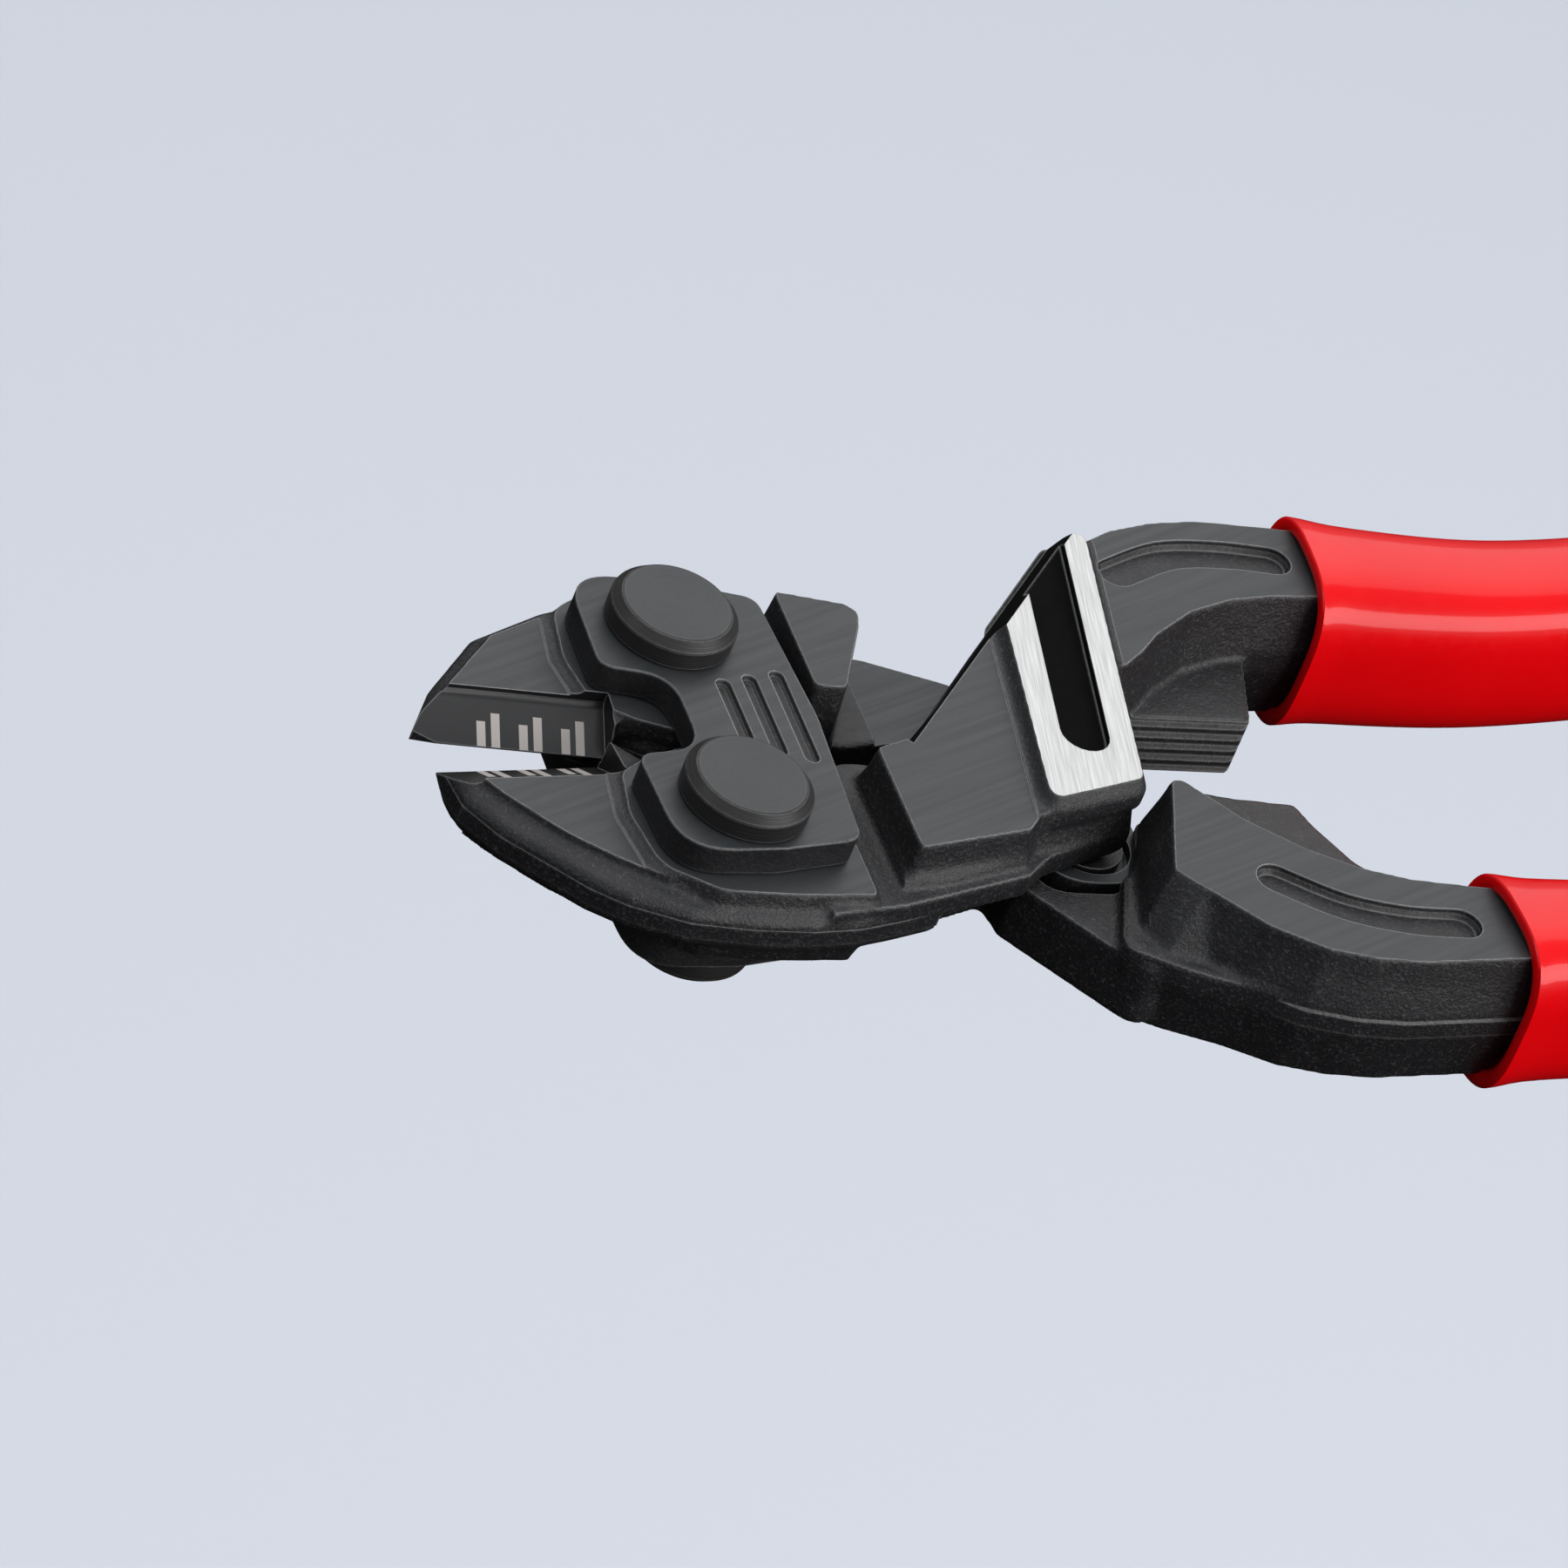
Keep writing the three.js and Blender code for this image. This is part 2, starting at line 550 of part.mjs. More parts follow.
// ---- cheek plates, rivets and pins ----
function cheekPlate(side) {
  const mirror = (corners) => corners.map(([x, y, r]) => [x, rivetSpacing - y, r]).reverse();
  const lower = [
    [-1.5, 5.6, 3.2], [-7.1, 4.7, 1.5], [-6.7, -5.9, 5], [2, -5.3, 3], [8.6, -3.9, 1.6],
  ];
  const outline = [...lower, [9.35, midLine, 20], ...mirror(lower)];
  const low = side > 0 ? seatHalf : -faceHalf;
  const grooveFloor = side > 0 ? faceHalf - grooveDepth : -faceHalf - 1;
  const grooveCuts = grooves.map(([x, half]) => capsule([x, midLine - half], [x, midLine + half],
    grooveWidth, grooveFloor, grooveFloor + grooveDepth + 1));
  const holes = [lowerRivet, upperRivet].map((at) => disc(at, rivetShankRadius + rivetFit, -9, 9));
  return [...grooveCuts, ...holes].reduce((solid, cut) => solid.subtract(cut),
    slab(outline, low, low + plateThickness));
}

function rivet(at) {
  const under = faceHalf + seatGap;
  return turnedSolid([
    [0, restHeight], [rivetFaceRadius, restHeight], [rivetHeadRadius, restHeight - rivetChamfer],
    [rivetHeadRadius, under], [rivetShankRadius, under], [rivetShankRadius, -restHeight], [0, -restHeight],
  ], at);
}

function rivetCollar(at) {
  const under = -faceHalf - seatGap;
  const bore = rivetShankRadius + rivetFit;
  return turnedSolid([
    [bore, under], [rivetHeadRadius, under], [rivetHeadRadius, -restHeight + rivetChamfer],
    [rivetFaceRadius, -restHeight], [bore, -restHeight], [bore, under],
  ], at);
}

function jointPin() {
  const back = -faceHalf + backInset;
  const shoulder = back + jointPinHeadHeight;
  return turnedSolid([
    [0, jointPinDepth], [jointPinRadius, jointPinDepth], [jointPinRadius, shoulder],
    [jointPinHeadRadius, shoulder], [jointPinHeadRadius, back], [0, back],
  ], jointPivot);
}

function togglePin() {
  const front = -lapGap / 2;
  const shoulder = front - togglePinHeadHeight;
  return turnedSolid([
    [0, front], [togglePinHeadRadius, front], [togglePinHeadRadius, shoulder],
    [togglePinRadius, shoulder], [togglePinRadius, -faceHalf + backInset], [0, -faceHalf + backInset],
  ], togglePivot);
}

function grip(line, gripStart) {
  const start = shareAtX(line, gripStart);
  const [tangFrom, tangTo] = tangSpan(line, gripStart);
  const outer = sweptBar(line, gripSection(line, start), start, 1, 24, 18);
  const cavityEnd = tangTo + gripFit / line.getLength();
  const cavity = sweptBar(line, tangSection(tangFrom, tangTo, gripFit), tangFrom, cavityEnd);
  return outer.subtract(cavity);
}

// ---- assembly ----
function piece(name, solid, look) {
  const { vertProperties, triVerts } = solid.getMesh();
  const geometry = new THREE.BufferGeometry();
  geometry.setAttribute('position', new THREE.BufferAttribute(vertProperties, 3));
  geometry.setIndex(new THREE.BufferAttribute(triVerts, 1));
  const mesh = new THREE.Mesh(geometry, new THREE.MeshStandardMaterial({ ...look, flatShading: true }));
  mesh.name = name;
  return mesh;
}

const boltCutters = new THREE.Group();
boltCutters.position.z = restHeight;
boltCutters.add(
  piece('fixed_half', fixedHalf(), forged),
  piece('moving_jaw', movingJaw(), forged),
  piece('moving_handle', movingHandle(), forged),
  piece('front_cheek_plate', cheekPlate(1), forged),
  piece('back_cheek_plate', cheekPlate(-1), forged),
  piece('lower_rivet', rivet(lowerRivet), turned),
  piece('upper_rivet', rivet(upperRivet), turned),
  piece('lower_rivet_collar', rivetCollar(lowerRivet), turned),
  piece('upper_rivet_collar', rivetCollar(upperRivet), turned),
  piece('joint_pin', jointPin(), turned),
  piece('toggle_pin', togglePin(), turned),
  piece('upper_grip', grip(upperHandleLine, upperGripStart), dipped),
  piece('lower_grip', grip(lowerHandleLine, lowerGripStart), dipped),
);

export default boltCutters;
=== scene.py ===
import math

import bmesh
import bpy
from mathutils import Matrix, Vector


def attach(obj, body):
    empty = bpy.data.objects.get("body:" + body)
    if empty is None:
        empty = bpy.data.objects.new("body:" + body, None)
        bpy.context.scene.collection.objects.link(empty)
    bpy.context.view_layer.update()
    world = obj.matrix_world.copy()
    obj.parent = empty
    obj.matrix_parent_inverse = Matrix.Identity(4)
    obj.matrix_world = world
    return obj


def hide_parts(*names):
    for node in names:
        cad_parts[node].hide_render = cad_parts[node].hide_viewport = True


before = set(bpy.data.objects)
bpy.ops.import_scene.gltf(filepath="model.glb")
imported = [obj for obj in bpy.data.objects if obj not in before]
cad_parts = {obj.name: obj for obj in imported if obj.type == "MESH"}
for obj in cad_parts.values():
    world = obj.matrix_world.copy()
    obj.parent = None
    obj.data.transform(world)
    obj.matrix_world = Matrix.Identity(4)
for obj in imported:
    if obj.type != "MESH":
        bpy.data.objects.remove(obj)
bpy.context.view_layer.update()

# Pieces are drawn in millimetres about the tool's mid-plane, x to the handle ends and y from the lower
# rivet to the upper one, and keepPiece lifts them by restHeight and brings them to metres.
restHeight = 8.5
faceHalf = 6.0
bandHalf = 1.0  # half the height of the trimmed parting band
draft = 1.0  # how far the band stands outside the faces
bladeHalf = 2.8  # half heights of the milled blades and plate seats
seatHalf = 3.35
lapHeight = -0.15  # top of what slides under the fixed half
through = 9.0  # past any face, for a cutter that goes right through
rivetHole, jointPinHole, togglePinHole = 3.1, 2.7, 2.3  # radii
lowerRivet = (0, 0)
upperRivet = (0, 19.2)
jointPivot = (16.8, 4.4)
togglePivot = (32, 3.6)
closedTurn = 20.5  # degrees of the lower handle from rest to closed
grainSkin, groundFace, brushedFace, edgeFace, paintedShadeFace = range(5)  # material slots of a forging
slotCount = 5


# outlines
def turned(point, centre, degrees):
    c, s = math.cos(math.radians(degrees)), math.sin(math.radians(degrees))
    x, y = point[0] - centre[0], point[1] - centre[1]
    return centre[0] + c * x - s * y, centre[1] + s * x + c * y


def outline(corners, steps=6):  # corners are (x, y) or (x, y, radius)
    points = []
    for i, corner in enumerate(corners):
        here = Vector(corner[:2])
        radius = corner[2] if len(corner) > 2 else 0
        before = Vector(corners[i - 1][:2]) - here
        after = Vector(corners[(i + 1) % len(corners)][:2]) - here
        half = before.angle(after) / 2
        reach = min(radius / math.tan(half), before.length * 0.48, after.length * 0.48) if radius else 0
        if reach < 0.05:
            points.append(here)
            continue
        enter, leave = here + before.normalized() * reach, here + after.normalized() * reach
        for k in range(steps + 1):
            t = k / steps
            points.append(enter * (1 - t) ** 2 + here * 2 * t * (1 - t) + leave * t ** 2)
    return points


def grown(points, distance):  # the same outline, pushed outwards
    area = sum(points[i - 1].x * p.y - p.x * points[i - 1].y for i, p in enumerate(points))
    side = 1 if area > 0 else -1
    result = []
    for i, here in enumerate(points):
        a = (here - points[i - 1]).normalized()
        b = (points[(i + 1) % len(points)] - here).normalized()
        normal = Vector((a.y + b.y, -a.x - b.x)).normalized() * side
        spread = max(0.5, normal.dot(Vector((a.y, -a.x)) * side))
        result.append(here + normal * distance / spread)
    return result


def arc(centre, radius, start, end, steps=10):
    turn = [math.radians(start + (end - start) * k / steps) for k in range(steps + 1)]
    return [Vector((centre[0] + radius * math.cos(t), centre[1] + radius * math.sin(t))) for t in turn]


def slotAlong(points, width):  # outline of a round-ended slot that follows a line
    line = [Vector(p) for p in points]
    first = math.degrees(math.atan2(*(line[1] - line[0]).yx))
    last = math.degrees(math.atan2(*(line[-1] - line[-2]).yx))
    left, right = [], []
    for i in range(1, len(line) - 1):
        along = (line[i + 1] - line[i - 1]).normalized()
        side = Vector((-along.y, along.x)) * width / 2
        left.append(line[i] + side)
        right.insert(0, line[i] - side)
    return (arc(line[0], width / 2, first + 90, first + 270) + right[::-1]
            + arc(line[-1], width / 2, last - 90, last + 90) + left[::-1])


def smoothLine(points, steps=6):  # a curve through the points
    line = [Vector(p) for p in points]
    result = []
    for i in range(len(line) - 1):
        a, b = line[max(i - 1, 0)], line[i]
        c, d = line[i + 1], line[min(i + 2, len(line) - 1)]
        for k in range(steps):
            t = k / steps
            result.append(0.5 * (2 * b + (c - a) * t + (2 * a - 5 * b + 4 * c - d) * t * t
                                 + (3 * b - a - 3 * c + d) * t ** 3))
    return result + [line[-1]]


# solids
def loft(bm, rings):  # rings are (points, z), from low to high, with as many points each
    points, z = rings[0]
    face = bm.faces.new([bm.verts.new((p[0], p[1], z)) for p in points])
    for step, (points, z) in enumerate(rings[1:]):
        made = bmesh.ops.extrude_face_region(bm, geom=[face])["geom"]
        if step:
            bmesh.ops.delete(bm, geom=[face], context="FACES_ONLY")
        face = next(g for g in made if isinstance(g, bmesh.types.BMFace))
        for vert, p in zip(face.verts, points):
            vert.co = (p[0], p[1], z)


def block(bm, corners, low, high, taper=0):  # an upright block, drawn in at the top by taper
    points = outline(corners)
    loft(bm, [(points, low), (grown(points, -taper) if taper else points, high)])


def disc(bm, centre, radius, low, high):
    place = Matrix.Translation((*centre, (low + high) / 2))
    bmesh.ops.create_cone(bm, cap_ends=True, segments=64, radius1=radius, radius2=radius,
                          depth=high - low, matrix=place)


def prism(bm, corners, travel):  # a flat outline carried along a line; gives back all its corners
    verts = [bm.verts.new(corner) for corner in corners]
    made = bmesh.ops.extrude_face_region(bm, geom=[bm.faces.new(verts)])["geom"]
    moved = [g for g in made if isinstance(g, bmesh.types.BMVert)]
    bmesh.ops.translate(bm, vec=travel, verts=moved)
    return verts + moved


def forging(bm, corners, low, high):  # drafted above and below its band, its outline given at the faces
    points = outline(corners)
    band = grown(points, draft)
    rings = []
    if low < -bandHalf:
        rings.append((points, low))
    rings += [(band, max(low, -bandHalf)), (band, bandHalf)]
    if high > bandHalf:
        rings.append((points, high))
    loft(bm, rings)


def meshObject(name, bm):
    bmesh.ops.recalc_face_normals(bm, faces=bm.faces)
    data = bpy.data.meshes.new(name)
    bm.to_mesh(data)
    bm.free()
    obj = bpy.data.objects.new(name, data)
    bpy.context.scene.collection.objects.link(obj)
    return obj


def applyAll(obj):
    graph = bpy.context.evaluated_depsgraph_get()
    data = bpy.data.meshes.new_from_object(obj.evaluated_get(graph))
    obj.modifiers.clear()
    old, obj.data = obj.data, data
    bpy.data.meshes.remove(old)


def fuse(obj, voxel, smoothing):  # one skin over the overlapping blocks, with soft inner corners
    remesh = obj.modifiers.new("fuse", "REMESH")
    remesh.mode = "VOXEL"
    remesh.voxel_size = voxel
    soften = obj.modifiers.new("soften", "SMOOTH")
    soften.factor = 0.5
    soften.iterations = smoothing
    applyAll(obj)
    for slot in range(slotCount):
        obj.data.materials.append(None)


def forged(name, stock, look):  # stock(bm) draws the blocks that are forged into one
    bm = bmesh.new()
    stock(bm)
    obj = meshObject(name, bm)
    fuse(obj, look["voxel"], look["smoothing"])
    return obj


def cutAway(obj, shape, index=grainSkin, operation="DIFFERENCE"):  # shape(bm) draws the cutter
    bm = bmesh.new()
    shape(bm)
    for face in bm.faces:
        face.material_index = index
    cutter = meshObject("cutter", bm)
    for slot in range(slotCount):
        cutter.data.materials.append(None)
    boolean = obj.modifiers.new("cut", "BOOLEAN")
    boolean.operation = operation
    boolean.solver = "MANIFOLD"
    boolean.object = cutter
    boolean.material_mode = "INDEX"
    applyAll(obj)
    bpy.data.objects.remove(cutter)


def mill(obj, corners, height, sides=(1, -1), index=groundFace):  # takes all above height off, on each side
    def shape(bm):
        for side in sides:
            low, high = sorted((side * height, side * 20))
            loft(bm, [(outline(corners), low), (outline(corners), high)])
    cutAway(obj, shape, index)


def flash(obj, corners, out, low, high, corner=0.12):  # the crisp line that trimming leaves
    def shape(bm):
        points = grown(outline(corners), out)
        inner = grown(points, -corner)
        loft(bm, [(inner, low), (points, low + corner), (points, high - corner), (inner, high)])
    cutAway(obj, shape, grainSkin, "UNION")


def bore(obj, centre, radius, low=-through, high=through):
    cutAway(obj, lambda bm: disc(bm, centre, radius, low, high), groundFace)


def keepPiece(obj, body, nodes, materials, sharp=24):
    bm = bmesh.new()
    bm.from_mesh(obj.data)
    bmesh.ops.scale(bm, vec=(0.001,) * 3, verts=bm.verts)
    bmesh.ops.translate(bm, vec=(0, 0, restHeight / 1000), verts=bm.verts)
    for face in bm.faces:
        face.smooth = True
    for edge in bm.edges:
        edge.smooth = len(edge.link_faces) == 2 and edge.calc_face_angle(0) < math.radians(sharp)
    bm.to_mesh(obj.data)
    bm.free()
    indices = [p.material_index for p in obj.data.polygons]
    obj.data.materials.clear()
    for material in materials:
        obj.data.materials.append(material)
    obj.data.polygons.foreach_set("material_index", [min(i, len(materials) - 1) for i in indices])
    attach(obj, body)
    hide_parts(*nodes)
    print("made", obj.name, len(obj.data.polygons), "faces")
    return obj


# finishes
def nodeGroup(name, inputs, outputs):
    group = bpy.data.node_groups.new(name, "ShaderNodeTree")
    for socketName, kind, value in inputs:
        socket = group.interface.new_socket(socketName, in_out="INPUT", socket_type=kind)
        socket.default_value = value
    for socketName, kind in outputs:
        group.interface.new_socket(socketName, in_out="OUTPUT", socket_type=kind)
    return group, group.nodes.new("NodeGroupInput"), group.nodes.new("NodeGroupOutput")


def maker(tree):  # add(kind, settings, inputs) puts a node in the tree and links or sets its sockets
    def add(kind, settings=None, **inputs):
        node = tree.nodes.new("ShaderNode" + kind)
        for key, value in (settings or {}).items():
            setattr(node, key, value)
        for key, value in inputs.items():
            name = key.replace("_", " ")
            socket = node.inputs[int(name[1:])] if name[1:].isdigit() else node.inputs[name]
            if isinstance(value, bpy.types.NodeSocket):
                tree.links.new(value, socket)
            else:
                socket.default_value = value
        return node
    return add


def maths(add, operation, a, b=0.0):
    return add("Math", {"operation": operation}, s0=a, s1=b).outputs[0]


def makeEdgeWearAndHighlight():  # mask of the corners, lightened as wear and as a painted edge highlight, and the slightly rounded normal that goes with them
    group, given, out = nodeGroup(
        "edgeWearAndHighlight",
        [("Radius", "NodeSocketFloat", 0.00015), ("Grain", "NodeSocketFloat", 2500.0)],
        [("Mask", "NodeSocketFloat"), ("Normal", "NodeSocketVector")])
    add = maker(group)
    soft = add("Bevel", {"samples": 6}, Radius=given.outputs["Radius"])
    true = add("NewGeometry")
    same = add("VectorMath", {"operation": "DOT_PRODUCT"}, s0=soft.outputs[0], s1=true.outputs["Normal"])
    away = maths(add, "SUBTRACT", 1.0, same.outputs["Value"])
    place = add("TexCoord")
    noise = add("TexNoise", Vector=place.outputs["Object"], Scale=given.outputs["Grain"], Detail=2.0)
    broken = maths(add, "MULTIPLY", away, maths(add, "MULTIPLY", noise.outputs["Fac"], 16.0))
    group.links.new(maths(add, "MINIMUM", broken, 1.0), out.inputs["Mask"])
    group.links.new(soft.outputs[0], out.inputs["Normal"])
    return group


def makeSandGrain():  # the pitted, sandy skin that forging and blasting leave
    group, given, out = nodeGroup(
        "sandGrain",
        [("Scale", "NodeSocketFloat", 2500.0)],
        [("Height", "NodeSocketFloat"), ("Specks", "NodeSocketFloat")])
    add = maker(group)
    place = add("TexCoord")
    fine = add("TexNoise", Vector=place.outputs["Object"], Scale=given.outputs["Scale"], Detail=4.0,
               Roughness=0.65)
    broad = add("TexNoise", Vector=place.outputs["Object"], Detail=2.0,
                Scale=maths(add, "MULTIPLY", given.outputs["Scale"], 0.16))
    height = maths(add, "ADD", fine.outputs["Fac"], maths(add, "MULTIPLY", broad.outputs["Fac"], 0.8))
    specks = add("MapRange", Value=fine.outputs["Fac"], From_Min=0.55, From_Max=0.8)
    group.links.new(height, out.inputs["Height"])
    group.links.new(specks.outputs[0], out.inputs["Specks"])
    return group


def makeStreaks():  # fine lines along one direction, given in degrees from x
    group, given, out = nodeGroup(
        "groundStreaks",
        [("Turn", "NodeSocketVector", (0, 0, 0)), ("Scale", "NodeSocketFloat", 6000.0)],
        [("Lines", "NodeSocketFloat"), ("Bands", "NodeSocketFloat")])
    add = maker(group)
    place = add("TexCoord")
    along = add("Mapping", Vector=place.outputs["Object"], Rotation=given.outputs["Turn"])
    thin = add("Mapping", Vector=along.outputs[0], Scale=(0.03, 1.0, 1.0))
    lines = add("TexNoise", Vector=thin.outputs[0], Scale=given.outputs["Scale"], Detail=3.0)
    bands = add("TexNoise", Vector=thin.outputs[0], Detail=1.0,
                Scale=maths(add, "MULTIPLY", given.outputs["Scale"], 0.12))
    group.links.new(lines.outputs["Fac"], out.inputs["Lines"])
    group.links.new(bands.outputs["Fac"], out.inputs["Bands"])
    return group


edgeWearAndHighlight, sandGrain, groundStreaks = makeEdgeWearAndHighlight(), makeSandGrain(), makeStreaks()


def newMaterial(name, roughness, specular, metallic=0.0):
    material = bpy.data.materials.new(name)
    material.use_nodes = True
    tree = material.node_tree
    shader = tree.nodes["Principled BSDF"]
    shader.inputs["Roughness"].default_value = roughness
    shader.inputs["Specular IOR Level"].default_value = specular
    shader.inputs["Metallic"].default_value = metallic
    return material, tree, shader, maker(tree)


def placeGroup(tree, group, **inputs):
    node = tree.nodes.new("ShaderNodeGroup")
    node.node_tree = group
    for key, value in inputs.items():
        node.inputs[key].default_value = value
    return node


def tint(add, fac, low, high):
    mix = add("Mix", {"data_type": "RGBA"}, Factor=fac, s6=(*low, 1), s7=(*high, 1))
    return mix.outputs[2]


# lightens the corners with the worn colour: partly real wear, partly a painted edge highlight
def wornAndHighlightedOver(add, wearAndHighlight, base, look):
    mix = add("Mix", {"data_type": "RGBA"}, Factor=wearAndHighlight.outputs["Mask"], s6=base, s7=(*look["wornHighlight"], 1))
    return mix.outputs[2]


def bumped(add, height, wearAndHighlight, look):
    bump = add("Bump", Height=height, Normal=wearAndHighlight.outputs["Normal"], Strength=look["bump"],
               Distance=look["depth"])
    return bump.outputs[0]


def unevenGloss(add, value, low, high, look, below, above):  # roughness, a little off the look's own
    spread = add("MapRange", Value=value, From_Min=low, From_Max=high, To_Min=look["roughness"] - below,
                 To_Max=look["roughness"] + above)
    return spread.outputs[0]


def plug(tree, shader, colour, normal, rough):
    tree.links.new(colour, shader.inputs["Base Color"])
    tree.links.new(normal, shader.inputs["Normal"])
    tree.links.new(rough, shader.inputs["Roughness"])


def steelSkin(name, look):  # black steel as forged: dark, grainy, lighter along its corners as wear and as a painted edge highlight
    material, tree, shader, add = newMaterial(name, look["roughness"], look["specular"])
    wearAndHighlight = placeGroup(tree, edgeWearAndHighlight, Radius=look["edge"])
    grain = placeGroup(tree, sandGrain, Scale=look["grainScale"])
    base = tint(add, grain.outputs["Specks"], look["dark"], look["light"])
    plug(tree, shader, wornAndHighlightedOver(add, wearAndHighlight, base, look), bumped(add, grain.outputs["Height"], wearAndHighlight, look),
         unevenGloss(add, grain.outputs["Height"], 0.5, 1.3, look, 0.08, 0.12))
    return material


def groundSteel(name, look, metallic=0.0):  # a ground face: lighter, with fine lines along the wheel's path
    material, tree, shader, add = newMaterial(name, look["roughness"], look["specular"], metallic)
    wearAndHighlight = placeGroup(tree, edgeWearAndHighlight, Radius=look["edge"])
    streaks = placeGroup(tree, groundStreaks, Scale=look["lineScale"],
                         Turn=(0, 0, math.radians(-look["lineTurn"])))
    mixed = maths(add, "ADD", maths(add, "MULTIPLY", streaks.outputs["Lines"], 1 - look["bands"]),
                  maths(add, "MULTIPLY", streaks.outputs["Bands"], look["bands"]))
    spread = add("MapRange", Value=mixed, From_Min=0.35, From_Max=0.65)
    base = tint(add, spread.outputs[0], look["dark"], look["light"])
    plug(tree, shader, wornAndHighlightedOver(add, wearAndHighlight, base, look), bumped(add, streaks.outputs["Lines"], wearAndHighlight, look),
         unevenGloss(add, streaks.outputs["Bands"], 0.3, 0.7, look, 0.05, 0.07))
    return material


# each look's worn colour lightens the corners: wear, and a painted edge highlight
skinLook = {
    "dark": (0.008, 0.008, 0.009), "light": (0.07, 0.068, 0.072), "wornHighlight": (0.16, 0.16, 0.16),
    "roughness": 0.44, "specular": 0.42, "edge": 0.0003, "grainScale": 3400.0, "bump": 0.7,
    "depth": 0.00015,
}
plateSkinLook = dict(skinLook, grainScale=3600.0, bump=0.5, light=(0.03, 0.028, 0.028))
groundLook = {
    "dark": (0.024, 0.026, 0.028), "light": (0.028, 0.031, 0.033), "wornHighlight": (0.30, 0.30, 0.30),
    "roughness": 0.44, "specular": 0.3, "edge": 0.00017, "lineScale": 16000.0, "lineTurn": 25,
    "bands": 0.12, "bump": 0.12, "depth": 0.00004,
}
padLook = {
    "dark": (0.32, 0.32, 0.316), "light": (0.50, 0.50, 0.495), "wornHighlight": (0.6, 0.6, 0.59),
    "roughness": 0.42, "specular": 0.5, "edge": 0.0001, "lineScale": 7000.0, "lineTurn": 80,
    "bands": 0.35, "bump": 0.25, "depth": 0.00004,
}
blackSkin = steelSkin("blackForgedSkin", skinLook)
plateEdge = steelSkin("plateEdgeSkin", plateSkinLook)
blackGround = groundSteel("blackGroundFace", groundLook)
# near-black, almost unreflective colour: painted shade in the pad's slot and on the cut corner beside it
slotPaintedShadeLook = dict(skinLook, dark=(0.003, 0.003, 0.003), light=(0.005, 0.005, 0.005), roughness=0.75,
                 specular=0.03, bump=0.3)
slotPaintedShade = steelSkin("blackSlotPaintedShade", slotPaintedShadeLook)
brushedPad = groundSteel("brushedPadFace", padLook, metallic=1.0)


def bladeGrinding(name, edge, look):  # ground blade side with three pairs of size bars beside the edge
    material, tree, shader, add = newMaterial(name, look["roughness"], look["specular"])
    (x, y), turn = edge["start"], edge["turn"]
    place = add("TexCoord")
    moved = add("Mapping", {"vector_type": "TEXTURE"}, Vector=place.outputs["Object"],
                Location=(x / 1000, y / 1000, 0), Rotation=(0, 0, math.radians(turn)))
    axes = add("SeparateXYZ", Vector=moved.outputs[0])
    across = maths(add, "ABSOLUTE", axes.outputs["Y"])
    along = maths(add, "SUBTRACT", axes.outputs["X"], look["firstBar"])
    within = maths(add, "MODULO", along, look["pairPitch"])
    bars = []
    for start, height in ((0, look["shortBar"]), (look["barPitch"], look["tallBar"])):
        offset = maths(add, "ABSOLUTE", maths(add, "SUBTRACT", within, start + look["barWidth"] / 2))
        thin = maths(add, "LESS_THAN", offset, look["barWidth"] / 2)
        bars.append(maths(add, "MULTIPLY", thin, maths(add, "LESS_THAN", across, height)))
    started = maths(add, "GREATER_THAN", along, 0.0)
    ended = maths(add, "LESS_THAN", along, look["pairPitch"] * look["pairs"])
    mask = maths(add, "MULTIPLY", maths(add, "ADD", *bars), maths(add, "MULTIPLY", started, ended))
    streaks = placeGroup(tree, groundStreaks, Scale=look["lineScale"], Turn=(0, 0, math.radians(90 - turn)))
    wearAndHighlight = placeGroup(tree, edgeWearAndHighlight, Radius=look["edge"])
    base = tint(add, streaks.outputs["Lines"], look["dark"], look["light"])
    marked = add("Mix", {"data_type": "RGBA"}, Factor=mask, s6=wornAndHighlightedOver(add, wearAndHighlight, base, look),
                 s7=(*look["bars"], 1))
    plug(tree, shader, marked.outputs[2], bumped(add, streaks.outputs["Lines"], wearAndHighlight, look),
         maths(add, "ADD", maths(add, "MULTIPLY", mask, look["barRoughness"]), look["roughness"]))
    return material


bladeLook = {
    "dark": (0.006, 0.006, 0.0065), "light": (0.011, 0.011, 0.012), "wornHighlight": (0.28, 0.28, 0.28),
    "bars": (0.36, 0.33, 0.31), "barRoughness": 0.25, "roughness": 0.36, "specular": 0.35,
    "edge": 0.0001, "lineScale": 7000.0, "bump": 0.08, "depth": 0.00004,
    "firstBar": 0.0033, "pairPitch": 0.0034, "pairs": 3, "barPitch": 0.00116, "barWidth": 0.0007,
    "shortBar": 0.0017, "tallBar": 0.0023,
}


